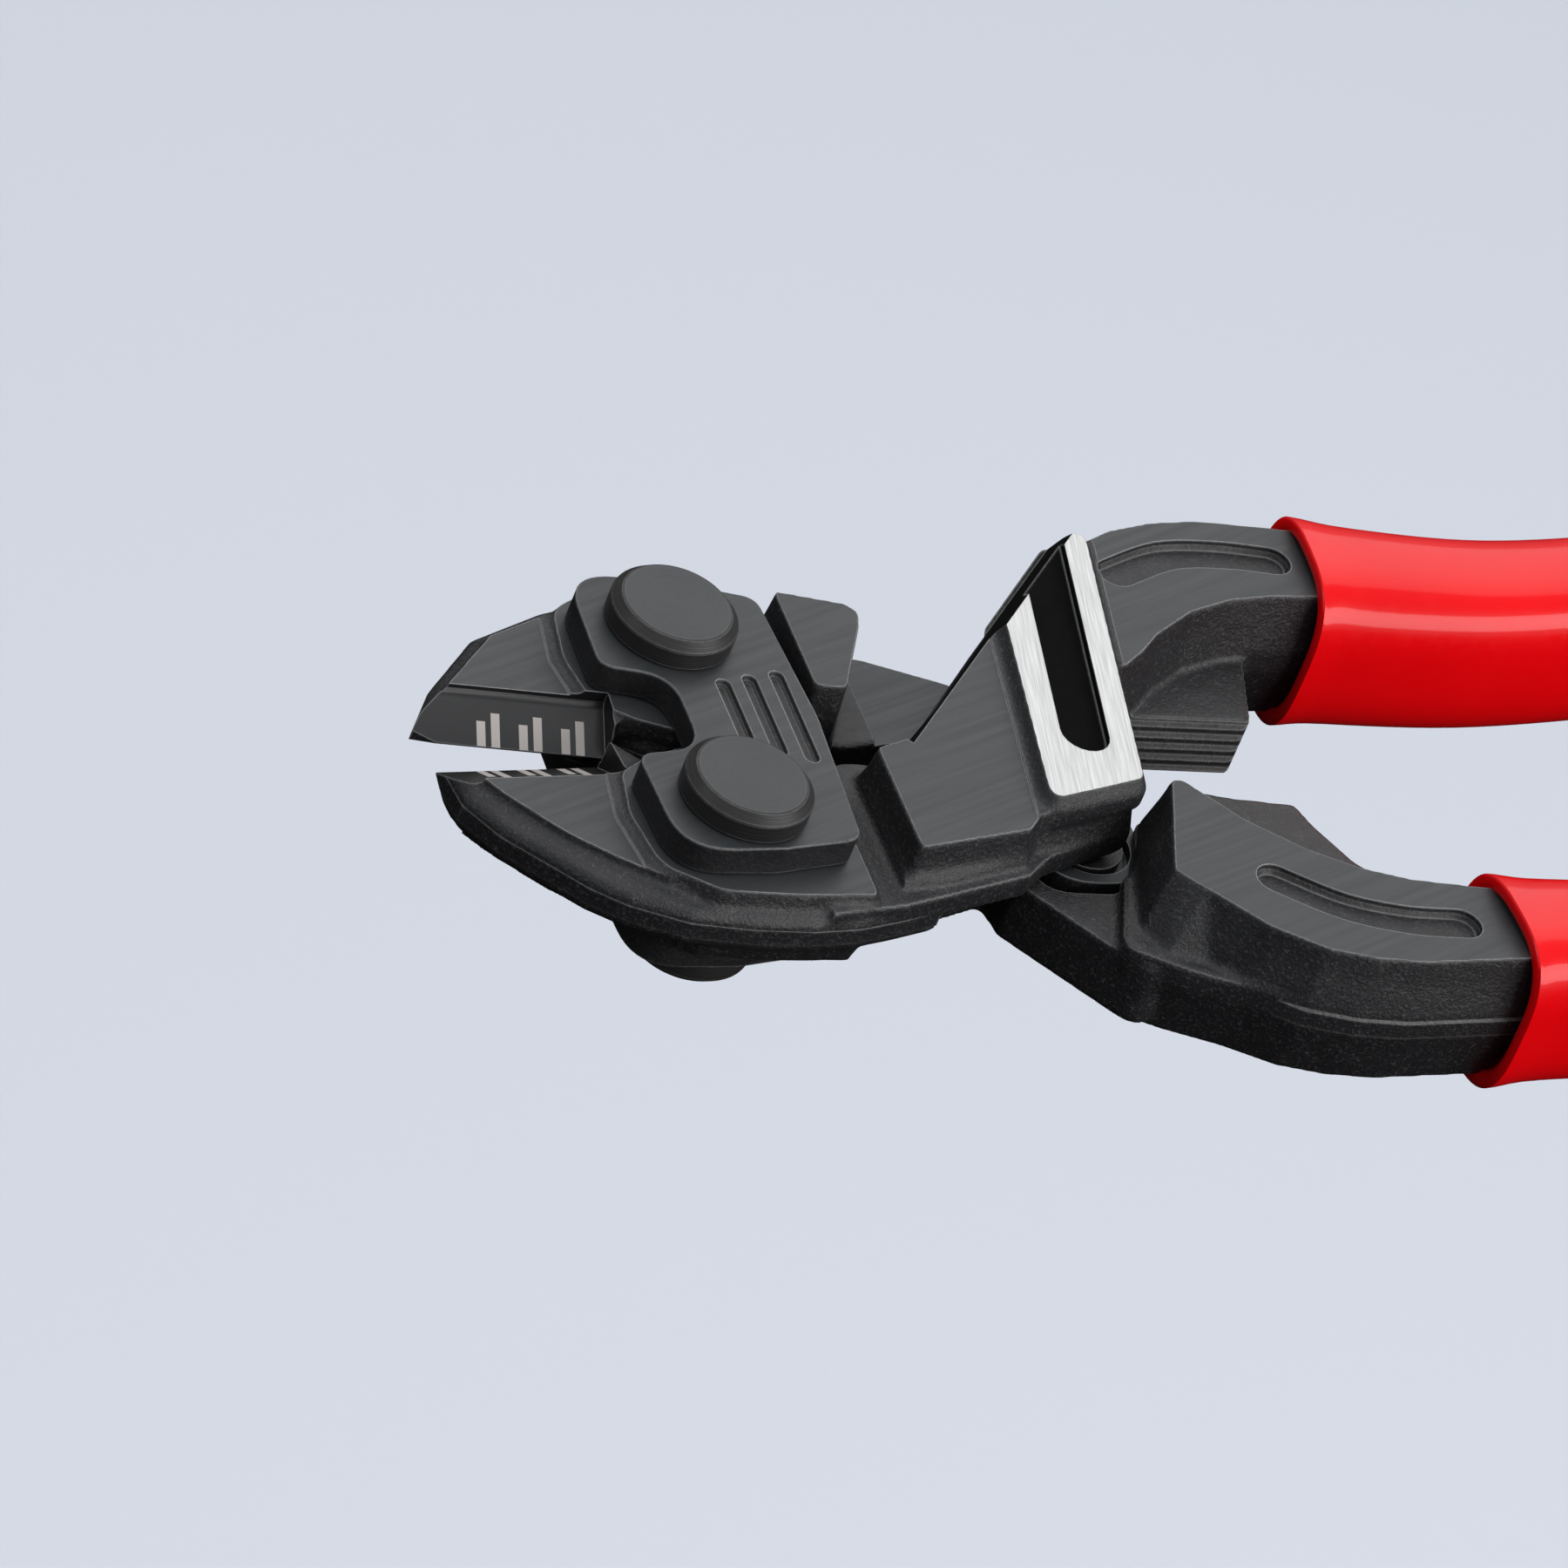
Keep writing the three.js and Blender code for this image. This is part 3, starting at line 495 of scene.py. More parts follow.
def turnedSteel(name, centre, look):  # lathe rings on the flats, and lines round the side
    material, tree, shader, add = newMaterial(name, look["roughness"], look["specular"])
    place = add("TexCoord")
    middle = (-centre[0] / 1000, -centre[1] / 1000, 0)
    moved = add("Mapping", Vector=place.outputs["Object"], Location=middle)
    axes = add("SeparateXYZ", Vector=moved.outputs[0])
    flat = add("CombineXYZ", X=axes.outputs["X"], Y=axes.outputs["Y"])
    radius = add("VectorMath", {"operation": "LENGTH"}, s0=flat.outputs[0])
    steps = add("CombineXYZ", X=maths(add, "MULTIPLY", radius.outputs["Value"], look["ringScale"]),
                Y=maths(add, "MULTIPLY", axes.outputs["Z"], look["sideScale"]))
    rings = add("TexNoise", Vector=steps.outputs[0], Scale=1.0, Detail=3.0, Roughness=0.7)
    wearAndHighlight = placeGroup(tree, edgeWearAndHighlight, Radius=look["edge"])
    facing = add("SeparateXYZ", Vector=place.outputs["Normal"])
    upward = maths(add, "GREATER_THAN", maths(add, "ABSOLUTE", facing.outputs["Z"]), 0.95)
    side = tint(add, rings.outputs["Fac"], look["sideDark"], look["sideLight"])
    top = tint(add, rings.outputs["Fac"], look["topDark"], look["topLight"])
    base = add("Mix", {"data_type": "RGBA"}, Factor=upward, s6=side, s7=top)
    plug(tree, shader, wornAndHighlightedOver(add, wearAndHighlight, base.outputs[2], look),
         bumped(add, rings.outputs["Fac"], wearAndHighlight, look),
         unevenGloss(add, rings.outputs["Fac"], 0.3, 0.7, look, 0.08, 0.1))
    return material


turnedLook = {
    "sideDark": (0.004, 0.004, 0.004), "sideLight": (0.03, 0.028, 0.027),
    "topDark": (0.022, 0.024, 0.026), "topLight": (0.032, 0.034, 0.036), "wornHighlight": (0.30, 0.30, 0.30),
    "roughness": 0.42, "specular": 0.3, "edge": 0.00016, "ringScale": 9000.0, "sideScale": 6000.0,
    "bump": 0.5, "depth": 0.00006,
}


def dippedVinyl(name, look):  # thick glossy dip, not quite even
    material, tree, shader, add = newMaterial(name, look["roughness"], look["specular"])
    shader.inputs["Coat Roughness"].default_value = look["coatRoughness"]
    shader.inputs["Coat Weight"].default_value = look["coat"]
    place = add("TexCoord")
    waves = add("TexNoise", Vector=place.outputs["Object"], Scale=look["waveScale"], Detail=1.0)
    peel = add("TexNoise", Vector=place.outputs["Object"], Scale=look["peelScale"], Detail=2.0)
    colour = tint(add, waves.outputs["Fac"], look["dark"], look["light"])
    height = maths(add, "ADD", maths(add, "MULTIPLY", waves.outputs["Fac"], 4.0), peel.outputs["Fac"])
    bump = add("Bump", Height=height, Strength=look["bump"], Distance=look["depth"])
    plug(tree, shader, colour, bump.outputs[0],
         unevenGloss(add, peel.outputs["Fac"], 0.3, 0.7, look, 0.04, 0.05))
    return material


vinylLook = {
    "dark": (0.58, 0.0, 0.002), "light": (0.70, 0.002, 0.004), "roughness": 0.32, "specular": 0.12,
    "coat": 0.24, "coatRoughness": 0.08, "waveScale": 90.0, "peelScale": 900.0, "bump": 0.1,
    "depth": 0.0001,
}
redVinyl = dippedVinyl("redDippedVinyl", vinylLook)
print("finishes made")


# bars along the handles, for the tangs and the grips
def swept(bm, line, sections, sides=20, square=0.72):  # a bar along a line; a section is two half sizes
    previous = None
    rings = []
    for i, at in enumerate(line):
        along = (line[min(i + 1, len(line) - 1)] - line[max(i - 1, 0)]).normalized()
        circle = bmesh.ops.create_circle(bm, segments=sides, radius=1)["verts"]
        for vert in circle:
            u, w = vert.co.x, vert.co.y
            side = math.copysign(abs(u) ** square, u) * sections[i][0]
            up = math.copysign(abs(w) ** square, w) * sections[i][1]
            vert.co = (at.x + along.y * side, at.y - along.x * side, up)
        edges = list({e for v in circle for e in v.link_edges})
        if previous:
            bmesh.ops.bridge_loops(bm, edges=previous + edges)
        previous = edges
        rings.append(circle)
    for ring in (rings[0], rings[-1]):
        bmesh.ops.contextual_create(bm, geom=ring)
    return rings


handleLines = {
    "upper": smoothLine([(54, 30.4), (58, 30.3), (75, 29.8), (95, 33), (115, 38), (138, 45)], 12),
    "lower": smoothLine([(56, -10.6), (60, -10.7), (75, -10.2), (95, -13.2), (115, -19), (138, -28)], 12),
}


def stretch(line, low, high):  # the points of a line between two x
    return [p for p in line if low <= p.x <= high]


def addTang(obj, line, start, end):
    points = stretch(line, start, end)
    sections = [(4 - i / len(points), 5 - i / len(points)) for i in range(len(points))]
    cutAway(obj, lambda bm: swept(bm, points, sections), grainSkin, "UNION")


# fixed half: lower blade, joint block with its pad, upper arm
fixedHalf = {
    "voxel": 0.26, "smoothing": 5,
    "edge": {"start": (-20.4, 8.35), "turn": 5.33, "length": 13.6, "side": 1},
    "band": [
        (-20.4, 8.35), (-20.2, 7.3), (-19.8, 4), (-17.7, 0.7), (-15.1, -1.8), (-12.1, -4.7), (-9.5, -6.4),
        (-5, -8.1), (0, -8.6), (5, -8.6), (9, -8.1), (12.5, -7.1), (16.4, -5.8), (16, -1.8),
        (12.5, -0.2), (10.8, 4.4), (11.2, 8.6), (7.5, 8.2), (4, 8.8), (0, 9.2), (-3, 8.8), (-4.9, 7.6),
        (-6.86, 9.61),
    ],
    "blade": [
        (-20.4, 8.35), (-19.6, 5.6), (-17.9, 3.1), (-15.8, 0.55), (-13.7, -1.7), (-10.7, -4.1),
        (-7, -6.4), (0, -7.4), (0, 6.5), (-4.9, 7.6), (-6.86, 9.61),
    ],
    "bladeFlat": [
        (-20.1, 8.35), (-18.9, 5.4), (-17.3, 3.2), (-15.2, 0.9), (-13.1, -1.2), (-10.1, -3.4),
        (-6.5, -5.6), (0, -6.6), (0, 6.5), (-4.9, 7.6), (-6.86, 9.61),
    ],
    "seat": [
        (-7.2, 5.6, 1.5), (-8, 1, 2), (-7.2, -4.6, 3), (-3, -7.2, 2), (3, -7.4, 2), (9.8, -7.1, 0.6),
        (9.8, 7.2, 1.5), (4, 8.6, 2), (0, 9, 2), (-4.2, 7.6, 1.5),
    ],
    "foot": [
        (6, -8.4), (12.5, -7.1), (16.5, -5.8), (24.2, -3.2, 1), (26.6, -1.0, 1), (34.3, 2.2),
        (34.6, 4.5), (36.5, 22), (28.6, 21.8), (20.3, 11.9), (16.3, 8.2, 2), (13.4, 8.8, 1), (9.6, 8.2, 1),
    ],
    "ramp": [(12.3, -5.9), (16.5, -5.2), (24.4, -2.7), (24, 4), (14, 6.2), (12.3, 6)],
    "panel": [
        (13.3, -4.6, 0.4), (23.3, -2.1, 1.2), (24.6, -0.5, 0.8), (26.5, 0.2, 0.6), (34.0, 2.9, 0.6),
        (38.8, 31, 0.6), (36.6, 31.2, 0.6), (28.3, 21.5), (20, 11.5), (16.3, 7.7, 2), (13.3, 6.5, 0.4),
    ],
    "pad": [(25.3, 0.1, 1.0), (34.0, 2.9, 0.9), (38.8, 31, 0.5), (36.6, 31.2, 0.5), (28.6, 21.7, 0.5)],
    "padTop": 7.2, "padMill": [(24, -4), (24, 34), (40, 34), (40, -4)],
    "arm": [
        (36.4, 16.4), (38.2, 17.4), (40, 18.9), (42, 21), (46, 23.9), (50, 25.5), (54, 26.2),
        (59.4, 26.4), (59.4, 34.1), (54, 34.5), (50, 34.7), (46, 34.2), (42, 33), (38.8, 31.2), (37.2, 31),
    ],
    "armBack": [
        (39.5, 19), (42, 21), (46, 23.9), (50, 25.5), (54, 26.2), (59.4, 26.4), (59.4, 34.1), (54, 34.5),
        (50, 34.7), (46, 34.2), (42, 33), (39.5, 31.6),
    ],
    "wireBlock": [(40.4, 17.6, 0.6), (51, 17.6, 0.6), (53.5, 27), (40.4, 27)],
    "recess": [(41, 28.1), (46, 30.4), (51, 30.8), (55.3, 30.4)],
    "slot": [(30.7, 7.7), (34.9, 31.5)],
    "slotWidth": 4.0, "slotFloor": 6.4, "chamferLine": [(16.3, 7.4), (37.4, 32.15)],
    "recessWidth": 3.2, "recessFloor": 5.15,
    "ridges": {"count": 5, "first": -4.5, "pitch": 1.1, "depth": 0.35, "from": 39, "to": 52, "y": 17.6},
    "mills": [  # outline, height, sides
        ([(-23, 12), (-23, -12), (-4.2, -12), (-4.2, -8.4), (-8.15, -5.5), (-9.05, 1), (-8.3, 6.2),
          (-8.6, 12)], bladeHalf, (1, -1)),
        ([(-9.6, 12), (-9.6, -9.5), (10.6, -9.5), (10.6, 12)], seatHalf, (1, -1)),
        ([(11.5, 12), (11.5, -8), (24, -8), (24.3, -0.2), (27.5, 22), (35.5, 33), (34, 34)], faceHalf,
         (1,)),
        ([(35.2, 2), (40.1, 31.2), (39, 40), (60, 40), (60, 2)], faceHalf, (1,)),
        ([(36, 10), (36, 40), (60, 40), (60, 10)], faceHalf, (-1,)),
    ],
}


def bladeStock(bm, look, flat):  # rolled band, blade with its flats, block for the plates' seats
    points = outline(look["band"])
    inner = grown(points, -0.55)
    loft(bm, [(inner, -1.75), (points, -1.1), (points, 1.1), (inner, 1.75)])
    block(bm, look["blade"], -2, 2)
    loft(bm, [(flat, -bladeHalf - 0.15), (flat, bladeHalf + 0.15)])
    seat = outline(look["seat"])
    wide = grown(seat, 0.3)
    loft(bm, [(seat, -seatHalf - 0.15), (wide, -2.2), (wide, 2.2), (seat, seatHalf + 0.15)])


def fixedStock(bm):
    look = fixedHalf
    block(bm, look["band"], -bandHalf, bandHalf)
    bladeStock(bm, look, outline(look["bladeFlat"]))
    block(bm, look["foot"], 0.2, 2.4)
    block(bm, look["ramp"], 0.2, 3.2, 0.4)
    panel = outline(look["panel"])
    loft(bm, [(grown(panel, 0.9), 0.3), (grown(panel, 0.8), 2.0), (grown(panel, 0.25), 4.0), (panel, 6.15)])
    pad = outline(look["pad"])
    loft(bm, [(grown(pad, 0.7), 4.5), (grown(pad, 0.7), 6.1), (pad, look["padTop"]),
              (pad, look["padTop"] + 0.15)])
    forging(bm, look["arm"], 0.2, faceHalf + 0.15)
    forging(bm, look["armBack"], -faceHalf - 0.15, 0.4)
    block(bm, look["wireBlock"], -5, 0.5)


def bladeBevel(edge, land=0.08, width=3.7, leadIn=3):  # the ground side of a blade, front and back
    slope = (bladeHalf - land) / width * 0.8
    flat, coveFoot = 0.8 * width, land + slope * 0.8 * width
    cove = [(0.86, 0.07), (0.92, 0.24), (0.98, 0.62), (0.992, 1.2)]  # share of the width, rise

    def shape(bm):
        x, y = edge["start"]
        turn = Matrix.Translation((x, y, 0)) @ Matrix.Rotation(math.radians(edge["turn"]), 4, "Z")
        profile = [(-2, land - 2 * slope), (flat, coveFoot)]
        profile += [(width * share, coveFoot + rise) for share, rise in cove]
        profile += [(width, through), (-2, through)]
        for face in (1, -1):
            corners = [(-leadIn, -edge["side"] * v, face * w) for v, w in profile]
            verts = prism(bm, corners, (edge["length"] + leadIn, 0, 0))
            bmesh.ops.transform(bm, matrix=turn, verts=verts)
    return shape


def grooved(line, width, floor, flare=0.25):  # a slot with slightly sloping walls
    points = slotAlong(line, width)

    def shape(bm):
        loft(bm, [(grown(points, -flare), floor), (points, floor + 0.4), (grown(points, 0.05), through)])
    return shape


def cornerCut(line, top, into=1.0, out=0.3, drop=2.4):  # takes the corner off, left of the line
    def shape(bm):
        start, end = Vector(line[0]), Vector(line[1])
        along = (end - start).normalized()
        left = Vector((-along.y, along.x))
        profile = [(-into, top + 0.01), (out, top - drop), (3, top - drop), (3, top + 2), (-into, top + 2)]
        prism(bm, [(*(start + left * v), w) for v, w in profile], (*(end - start), 0))
    return shape


def handleRoom():  # what the lower handle's front takes up when it is just past closed
    face, lobe, foot, shoulder = (
        [Vector(turned(p[:2], jointPivot, closedTurn + 0.15)) for p in lowerHandle[name]]
        for name in ("face", "lobe", "flankFoot", "flankTop"))
    wide, fillet = grown(face, draft + 0.25), grown(foot, 1.7)
    return [
        [(wide, -6.4), (wide, bandHalf + 0.2), (grown(face, 0.6), 4), (grown(face, 0.25), 6.4)],
        [(fillet, -0.8), (fillet, 0.42), (grown(foot, 0.9), 0.7), (grown(foot, 0.3), 1.3),
         (grown(shoulder, 0.3), 6.4)],
        [(lobe, -5.2), (lobe, 2.7)],
    ]


def ridgeGroove(ridges, step):  # one of the notches in the wire-gripping face
    y, z = ridges["y"], ridges["first"] + ridges["pitch"] * step
    half, depth = ridges["pitch"] * 0.6, ridges["depth"]

    def shape(bm):
        profile = [(y - depth, z - half), (y - depth, z + half), (y + depth, z)]
        prism(bm, [(ridges["from"], v, w) for v, w in profile], (ridges["to"] - ridges["from"], 0, 0))
    return shape


def makeFixedHalf():
    look = fixedHalf
    obj = forged("fixedHalfForging", fixedStock, look)
    flash(obj, look["band"], 0.02, -0.8, 0.8)
    for facts in look["mills"]:
        mill(obj, *facts)
    mill(obj, look["padMill"], look["padTop"], (1,), brushedFace)
    cutAway(obj, bladeBevel(look["edge"]), edgeFace)
    # the cut corner and the pad's slot below take the painted shade colour
    cutAway(obj, cornerCut(look["chamferLine"], look["padTop"]), paintedShadeFace)
    cutAway(obj, grooved(look["slot"], look["slotWidth"], look["slotFloor"], 0.0), paintedShadeFace)
    cutAway(obj, grooved(smoothLine(look["recess"]), look["recessWidth"], look["recessFloor"]))
    for rings in handleRoom():
        cutAway(obj, lambda bm: loft(bm, rings))
    for step in range(look["ridges"]["count"]):
        cutAway(obj, ridgeGroove(look["ridges"], step))
    bore(obj, lowerRivet, rivetHole)
    bore(obj, jointPivot, jointPinHole, high=4.3)
    addTang(obj, handleLines["upper"], 55, 130)
    return obj


# upper jaw: blade, boss behind its rivet, tail to the toggle pin
upperJaw = {
    "voxel": 0.26, "smoothing": 5,
    "tail": [
        (13, 24, 2), (19.5, 23.6, 3), (26.6, 21, 4), (32, 15.5, 5), (36.6, 9, 4), (36.6, -1, 5),
        (27.4, -1, 5), (27.4, 7.6, 3), (25.4, 12, 4), (20, 14.2, 4), (13, 12.6, 2),
    ],
    "boss": [
        (10.4, 13.3, 0.5), (13, 13.2, 0.5), (16.4, 20.4, 0.8), (16.9, 22, 0.9), (16, 22.9, 0.6),
        (10.4, 24, 0.4),
    ],
    "root": [(12, 12.9, 1), (12, 24, 1), (19.5, 23.4, 3), (24.6, 21.4, 2), (23.6, 14, 1), (18, 14.4, 2)],
    "toggleHole": 2.8, "toggleSeat": 3.6, "toggleSeatFloor": -1.1,
    "tailMill": [(17.6, 8), (40, -10), (40, 30), (17.6, 30)],
    "mills": [  # outline, height
        ([(-24, 8), (-5.5, 8), (-5.2, 10.9), (-8.2, 13.1), (-9.05, 18.2), (-8.2, 24.4), (-4.2, 27.2),
          (-4.2, 30), (-24, 30)], bladeHalf),
        ([(-9.6, 8), (9.95, 8), (9.95, 30), (-9.6, 30)], seatHalf),
        ([(9.5, 10), (20, 10), (20, 30), (9.5, 30)], faceHalf),
    ],
}


def jawAtRest(point, plateTurn=0.367 * closedTurn, ownTurn=0.1067 * closedTurn):
    held = turned(point, turned(upperRivet, lowerRivet, plateTurn), -ownTurn)
    return turned(held, lowerRivet, -plateTurn)


edgeGap = 0.12
jawTip = jawAtRest((-20.4, 8.35 + edgeGap))
jawHeel = jawAtRest((-6.86, 9.61 + edgeGap))
upperJaw["edge"] = {
    "start": jawTip, "length": 13.6, "side": -1,
    "turn": math.degrees(math.atan2(jawHeel[1] - jawTip[1], jawHeel[0] - jawTip[0])),
}
upperJaw["band"] = [
    jawTip, jawHeel, (-4.9, 11.6), (-3, 10.4), (0, 10), (4, 10.4), (8, 11.2), (12, 12.6), (14, 23.6, 1),
    (9.8, 26.6), (3, 27.2), (-3, 27), (-7.2, 25.6), (-13.8, 22.2), (-18.9, 16.4), (-21.2, 12.6),
]
upperJaw["blade"] = [
    jawTip, jawHeel, (-4.9, 11.6), (0, 12.7), (0, 26.2), (-3, 26.1), (-6.7, 24.6), (-13.2, 21.4),
    (-18.4, 15.7), (-20.6, 12.4),
]
upperJaw["seat"] = [
    (-4.2, 11.6, 1.5), (0, 10.2, 2), (4, 10.6, 2), (9.8, 12, 1.5), (9.8, 26.3, 0.6), (3, 26.6, 2),
    (-3, 26.4, 2), (-7.2, 23.8, 3), (-8, 18.2, 2), (-7.2, 13.6, 1.5),
]


def jawStock(bm):
    look = upperJaw
    bladeStock(bm, look, grown(outline(look["blade"]), -0.35))
    boss = outline(look["boss"])
    loft(bm, [(boss, -6.15), (grown(boss, 0.4), -2), (grown(boss, 0.4), -0.2), (grown(boss, 0.4), 0.5),
              (boss, 6.15)])
    block(bm, look["tail"], -2.85, 0.2)
    block(bm, look["root"], -5.6, 0.2)


def makeUpperJaw():
    look = upperJaw
    obj = forged("upperJawForging", jawStock, look)
    flash(obj, look["band"], 0.02, -0.8, 0.8)
    for facts in look["mills"]:
        mill(obj, *facts)
    cutAway(obj, bladeBevel(look["edge"]), edgeFace)
    mill(obj, look["tailMill"], lapHeight, sides=(1,))
    bore(obj, upperRivet, rivetHole)
    bore(obj, togglePivot, look["toggleHole"])
    bore(obj, togglePivot, look["toggleSeat"], low=look["toggleSeatFloor"])
    return obj


# lower handle: joint lobe, gripping lobe, arm
lowerHandle = {
    "voxel": 0.26, "smoothing": 5,
    "head": [
        (18.8, -0.5, 1), (24.2, 1.6, 0.6), (24.7, -1.4, 1), (32.6, -10.9, 2), (37, -10), (42, -4),
        (40, 4.5), (37.6, 6.8, 2), (35, 9.2, 2), (27, 9.2, 3), (22, 7.6, 3), (18.8, 9.3, 1),
    ],
    "face": [
        (34, -5.9, 0.3), (37.3, 4.2, 0.4), (38.2, 4.2, 0.6), (42, 0), (46, -3), (50, -5), (54, -6.1),
        (61.8, -6.9), (61.8, -14.5), (52, -15.4), (48, -15.2), (44, -14.3), (40, -12), (36, -8),
    ],
    "back": [
        (31.6, -8.6, 0.5), (34, -2), (38.2, 2.2, 0.6), (42, 0), (46, -3), (50, -5), (54, -6.1),
        (61.8, -6.9), (61.8, -14.5), (52, -15.4), (48, -15.2), (44, -14.3), (40, -12.3), (35.4, -10.6),
    ],
    "lobe": [
        (37.5, 2.5), (38.4, 5.6, 0.8), (41.6, 7.1, 0.8), (44.2, 6.55, 2), (49.8, 6.0, 0.5), (50.6, 3.6, 1),
        (52.7, -0.4, 2), (57, -4.4), (57, -8), (41, -5),
    ],
    "pocket": [
        (26.2, -2.2, 3), (37.8, -2.2, 3), (38.4, 7.6), (38.4, 20.6), (22, 20.6), (24, 9.6), (26.2, 5.6),
    ],
    "recess": [(42.3, -6.6), (47, -9.4), (52, -10.7), (56.6, -10.9)],
    "recessWidth": 3.2, "recessFloor": 5.15,
    "flankFoot": [
        (32.2, -7.6), (33.4, -10.2), (37, -11.2), (41, -13.2), (44, -10), (38, 3.6), (36.2, 4), (33.6, -2),
    ],
    "flankTop": [
        (34, -5.9), (34.6, -6.6), (36, -8), (40, -12), (44, -10), (38, 4.1), (37.3, 4.2), (35.6, -1),
    ],
    "headLow": -5.6, "jointLobe": 5.4, "pinHeadSeat": 3.75, "pinHeadSeatTop": -3.9,
    "faceMill": [(30, -20), (63, -20), (63, 12), (30, 12)],
}


def handleStock(bm):
    look = lowerHandle
    face = outline(look["face"])
    band = grown(face, draft)
    loft(bm, [(band, -bandHalf), (band, bandHalf), (grown(face, 0.35), 4), (face, faceHalf + 0.15)])
    forging(bm, look["back"], -faceHalf - 0.15, 0)
    block(bm, look["head"], look["headLow"], lapHeight)
    disc(bm, jointPivot, look["jointLobe"], look["headLow"], lapHeight)
    block(bm, look["lobe"], -5, 2.5)
    foot, shoulder = ([Vector(p) for p in look[name]] for name in ("flankFoot", "flankTop"))
    loft(bm, [(foot, -0.6), (foot, 0.4), (shoulder, faceHalf + 0.15)])


def makeLowerHandle():
    look = lowerHandle
    obj = forged("lowerHandleForging", handleStock, look)
    flash(obj, look["face"], draft + 0.12, -bandHalf, 0.7)
    mill(obj, look["faceMill"], faceHalf)
    cutAway(obj, grooved(smoothLine(look["recess"]), look["recessWidth"], look["recessFloor"]))
    cutAway(obj, lambda bm: block(bm, look["pocket"], -3.15, 0.15))
    bore(obj, jointPivot, jointPinHole)
    bore(obj, jointPivot, look["pinHeadSeat"], high=look["pinHeadSeatTop"])
    bore(obj, togglePivot, togglePinHole)
    addTang(obj, handleLines["lower"], 57, 130)
    return obj


# cheek plates, rivets and collars
cheekPlate = {
    "half": [(-1.5, 5.6, 3.2), (-7.1, 4.7, 1.5), (-6.7, -5.9, 5), (2, -5.3, 3), (8.6, -3.9, 1.6)],
    "thickness": 2.5, "seat": 3.5, "corner": 0.12,
    "grooves": [(2.6, 3.3), (4.95, 3.9), (7.4, 4.5)],
    "grooveWidth": 1.25, "grooveSection": [(0.45, 0.55), (0.8, 0.4125), (1, 0.05), (1, -1)],  # share, depth
}


def makeCheekPlate(name, side):
    look = cheekPlate
    middle = upperRivet[1] / 2
    mirrored = [(c[0], 2 * middle - c[1], c[2]) for c in look["half"]][::-1]
    points = outline(look["half"] + [(9.35, middle, 20)] + mirrored, 10)
    low = look["seat"] if side > 0 else -look["seat"] - look["thickness"]
    bm = bmesh.new()
    loft(bm, [(points, low), (points, low + look["thickness"])])
    flats = [f for f in bm.faces if abs(f.normal.z) > 0.9 or len(f.verts) > 8]
    for face in flats:
        face.material_index = groundFace
    rims = list({e for f in flats for e in f.edges})
    bmesh.ops.bevel(bm, geom=rims, offset=look["corner"], segments=2, profile=0.5, affect="EDGES",
                    material=-1)
    obj = meshObject(name, bm)
    for slot in range(slotCount):
        obj.data.materials.append(None)
    outer = low + look["thickness"] if side > 0 else low
    for x, half in look["grooves"]:
        line = [(x, middle - half), (x, middle + half)]
        rings = [(slotAlong(line, look["grooveWidth"] * share), outer - side * deep)
                 for share, deep in look["grooveSection"]]
        cutAway(obj, lambda bm: loft(bm, rings[::side]))
    for centre in (lowerRivet, upperRivet):
        bore(obj, centre, rivetHole)
    return obj


rivetLook = {"shank": 3.0, "head": 5.08, "flat": 4.3, "chamfer": 0.72, "height": 2.5, "gap": 0.15,
             "soft": 0.12}


def spunPiece(name, profile, centre, steps=112):
    bm = bmesh.new()
    verts = [bm.verts.new((r, 0, z)) for r, z in profile]
    edges = [bm.edges.new((verts[i], verts[(i + 1) % len(verts)]))
             for i in range(len(verts) if profile[0][0] > 0 else len(verts) - 1)]
    bmesh.ops.spin(bm, geom=verts + edges, cent=(0, 0, 0), axis=(0, 0, 1), angle=2 * math.pi, steps=steps,
                   use_merge=True)
    bmesh.ops.remove_doubles(bm, verts=bm.verts, dist=0.0005)
    bmesh.ops.translate(bm, vec=(*centre, 0), verts=bm.verts)
    return meshObject(name, bm)


def makeRivet(name, centre):
    look = rivetLook
    top, under, soft = faceHalf + look["height"], faceHalf + look["gap"], look["soft"]
    profile = [
        (0, top), (look["flat"] - soft, top), (look["flat"] + soft * 0.7, top - soft * 0.6),
        (look["head"] - soft * 0.5, top - look["chamfer"] + soft * 0.3),
        (look["head"], top - look["chamfer"] - soft), (look["head"], under + soft),
        (look["head"] - soft, under), (look["shank"], under), (look["shank"], -top), (0, -top),
    ]
    return spunPiece(name, profile, centre)


def makeCollar(name, centre):
    look = rivetLook
    top, under, soft = faceHalf + look["height"], faceHalf + look["gap"], look["soft"]
    inner = look["shank"] + 0.08
    profile = [
        (inner, -under), (look["head"] - soft, -under), (look["head"], -under - soft),
        (look["head"], -top + look["chamfer"] + soft),
        (look["head"] - soft * 0.5, -top + look["chamfer"] - soft * 0.3),
        (look["flat"] + soft * 0.7, -top + soft * 0.6), (look["flat"] - soft, -top),
        (inner + soft, -top), (inner, -top + soft),
    ]
    return spunPiece(name, profile, centre)


# dipped grips
gripLook = {
    "mouth": (6.5, 7.4), "waist": (5.7, 7.0), "tail": (6.6, 8.45), "waistAt": 0.35,  # half sizes
    "lip": 0.45, "lipLength": 2.2, "lipStops": (0.12, 0.15, 0.5, 1.0, 1.6, 2.4, 3.4), "endRound": 7.0,
    "rim": [(0.0, (0.25, 0.25)), (0.0, (0.9, 0.9)), (0.3, (1.25, 1.2))],  # depth, wall
    "armSeat": (5.5, 6.3), "armSeatDepth": 2.6, "tangSeat": (4.35, 5.35),
    "tangStops": (3.6, 6, 14, 24, 34, 44, 54, 64),
}


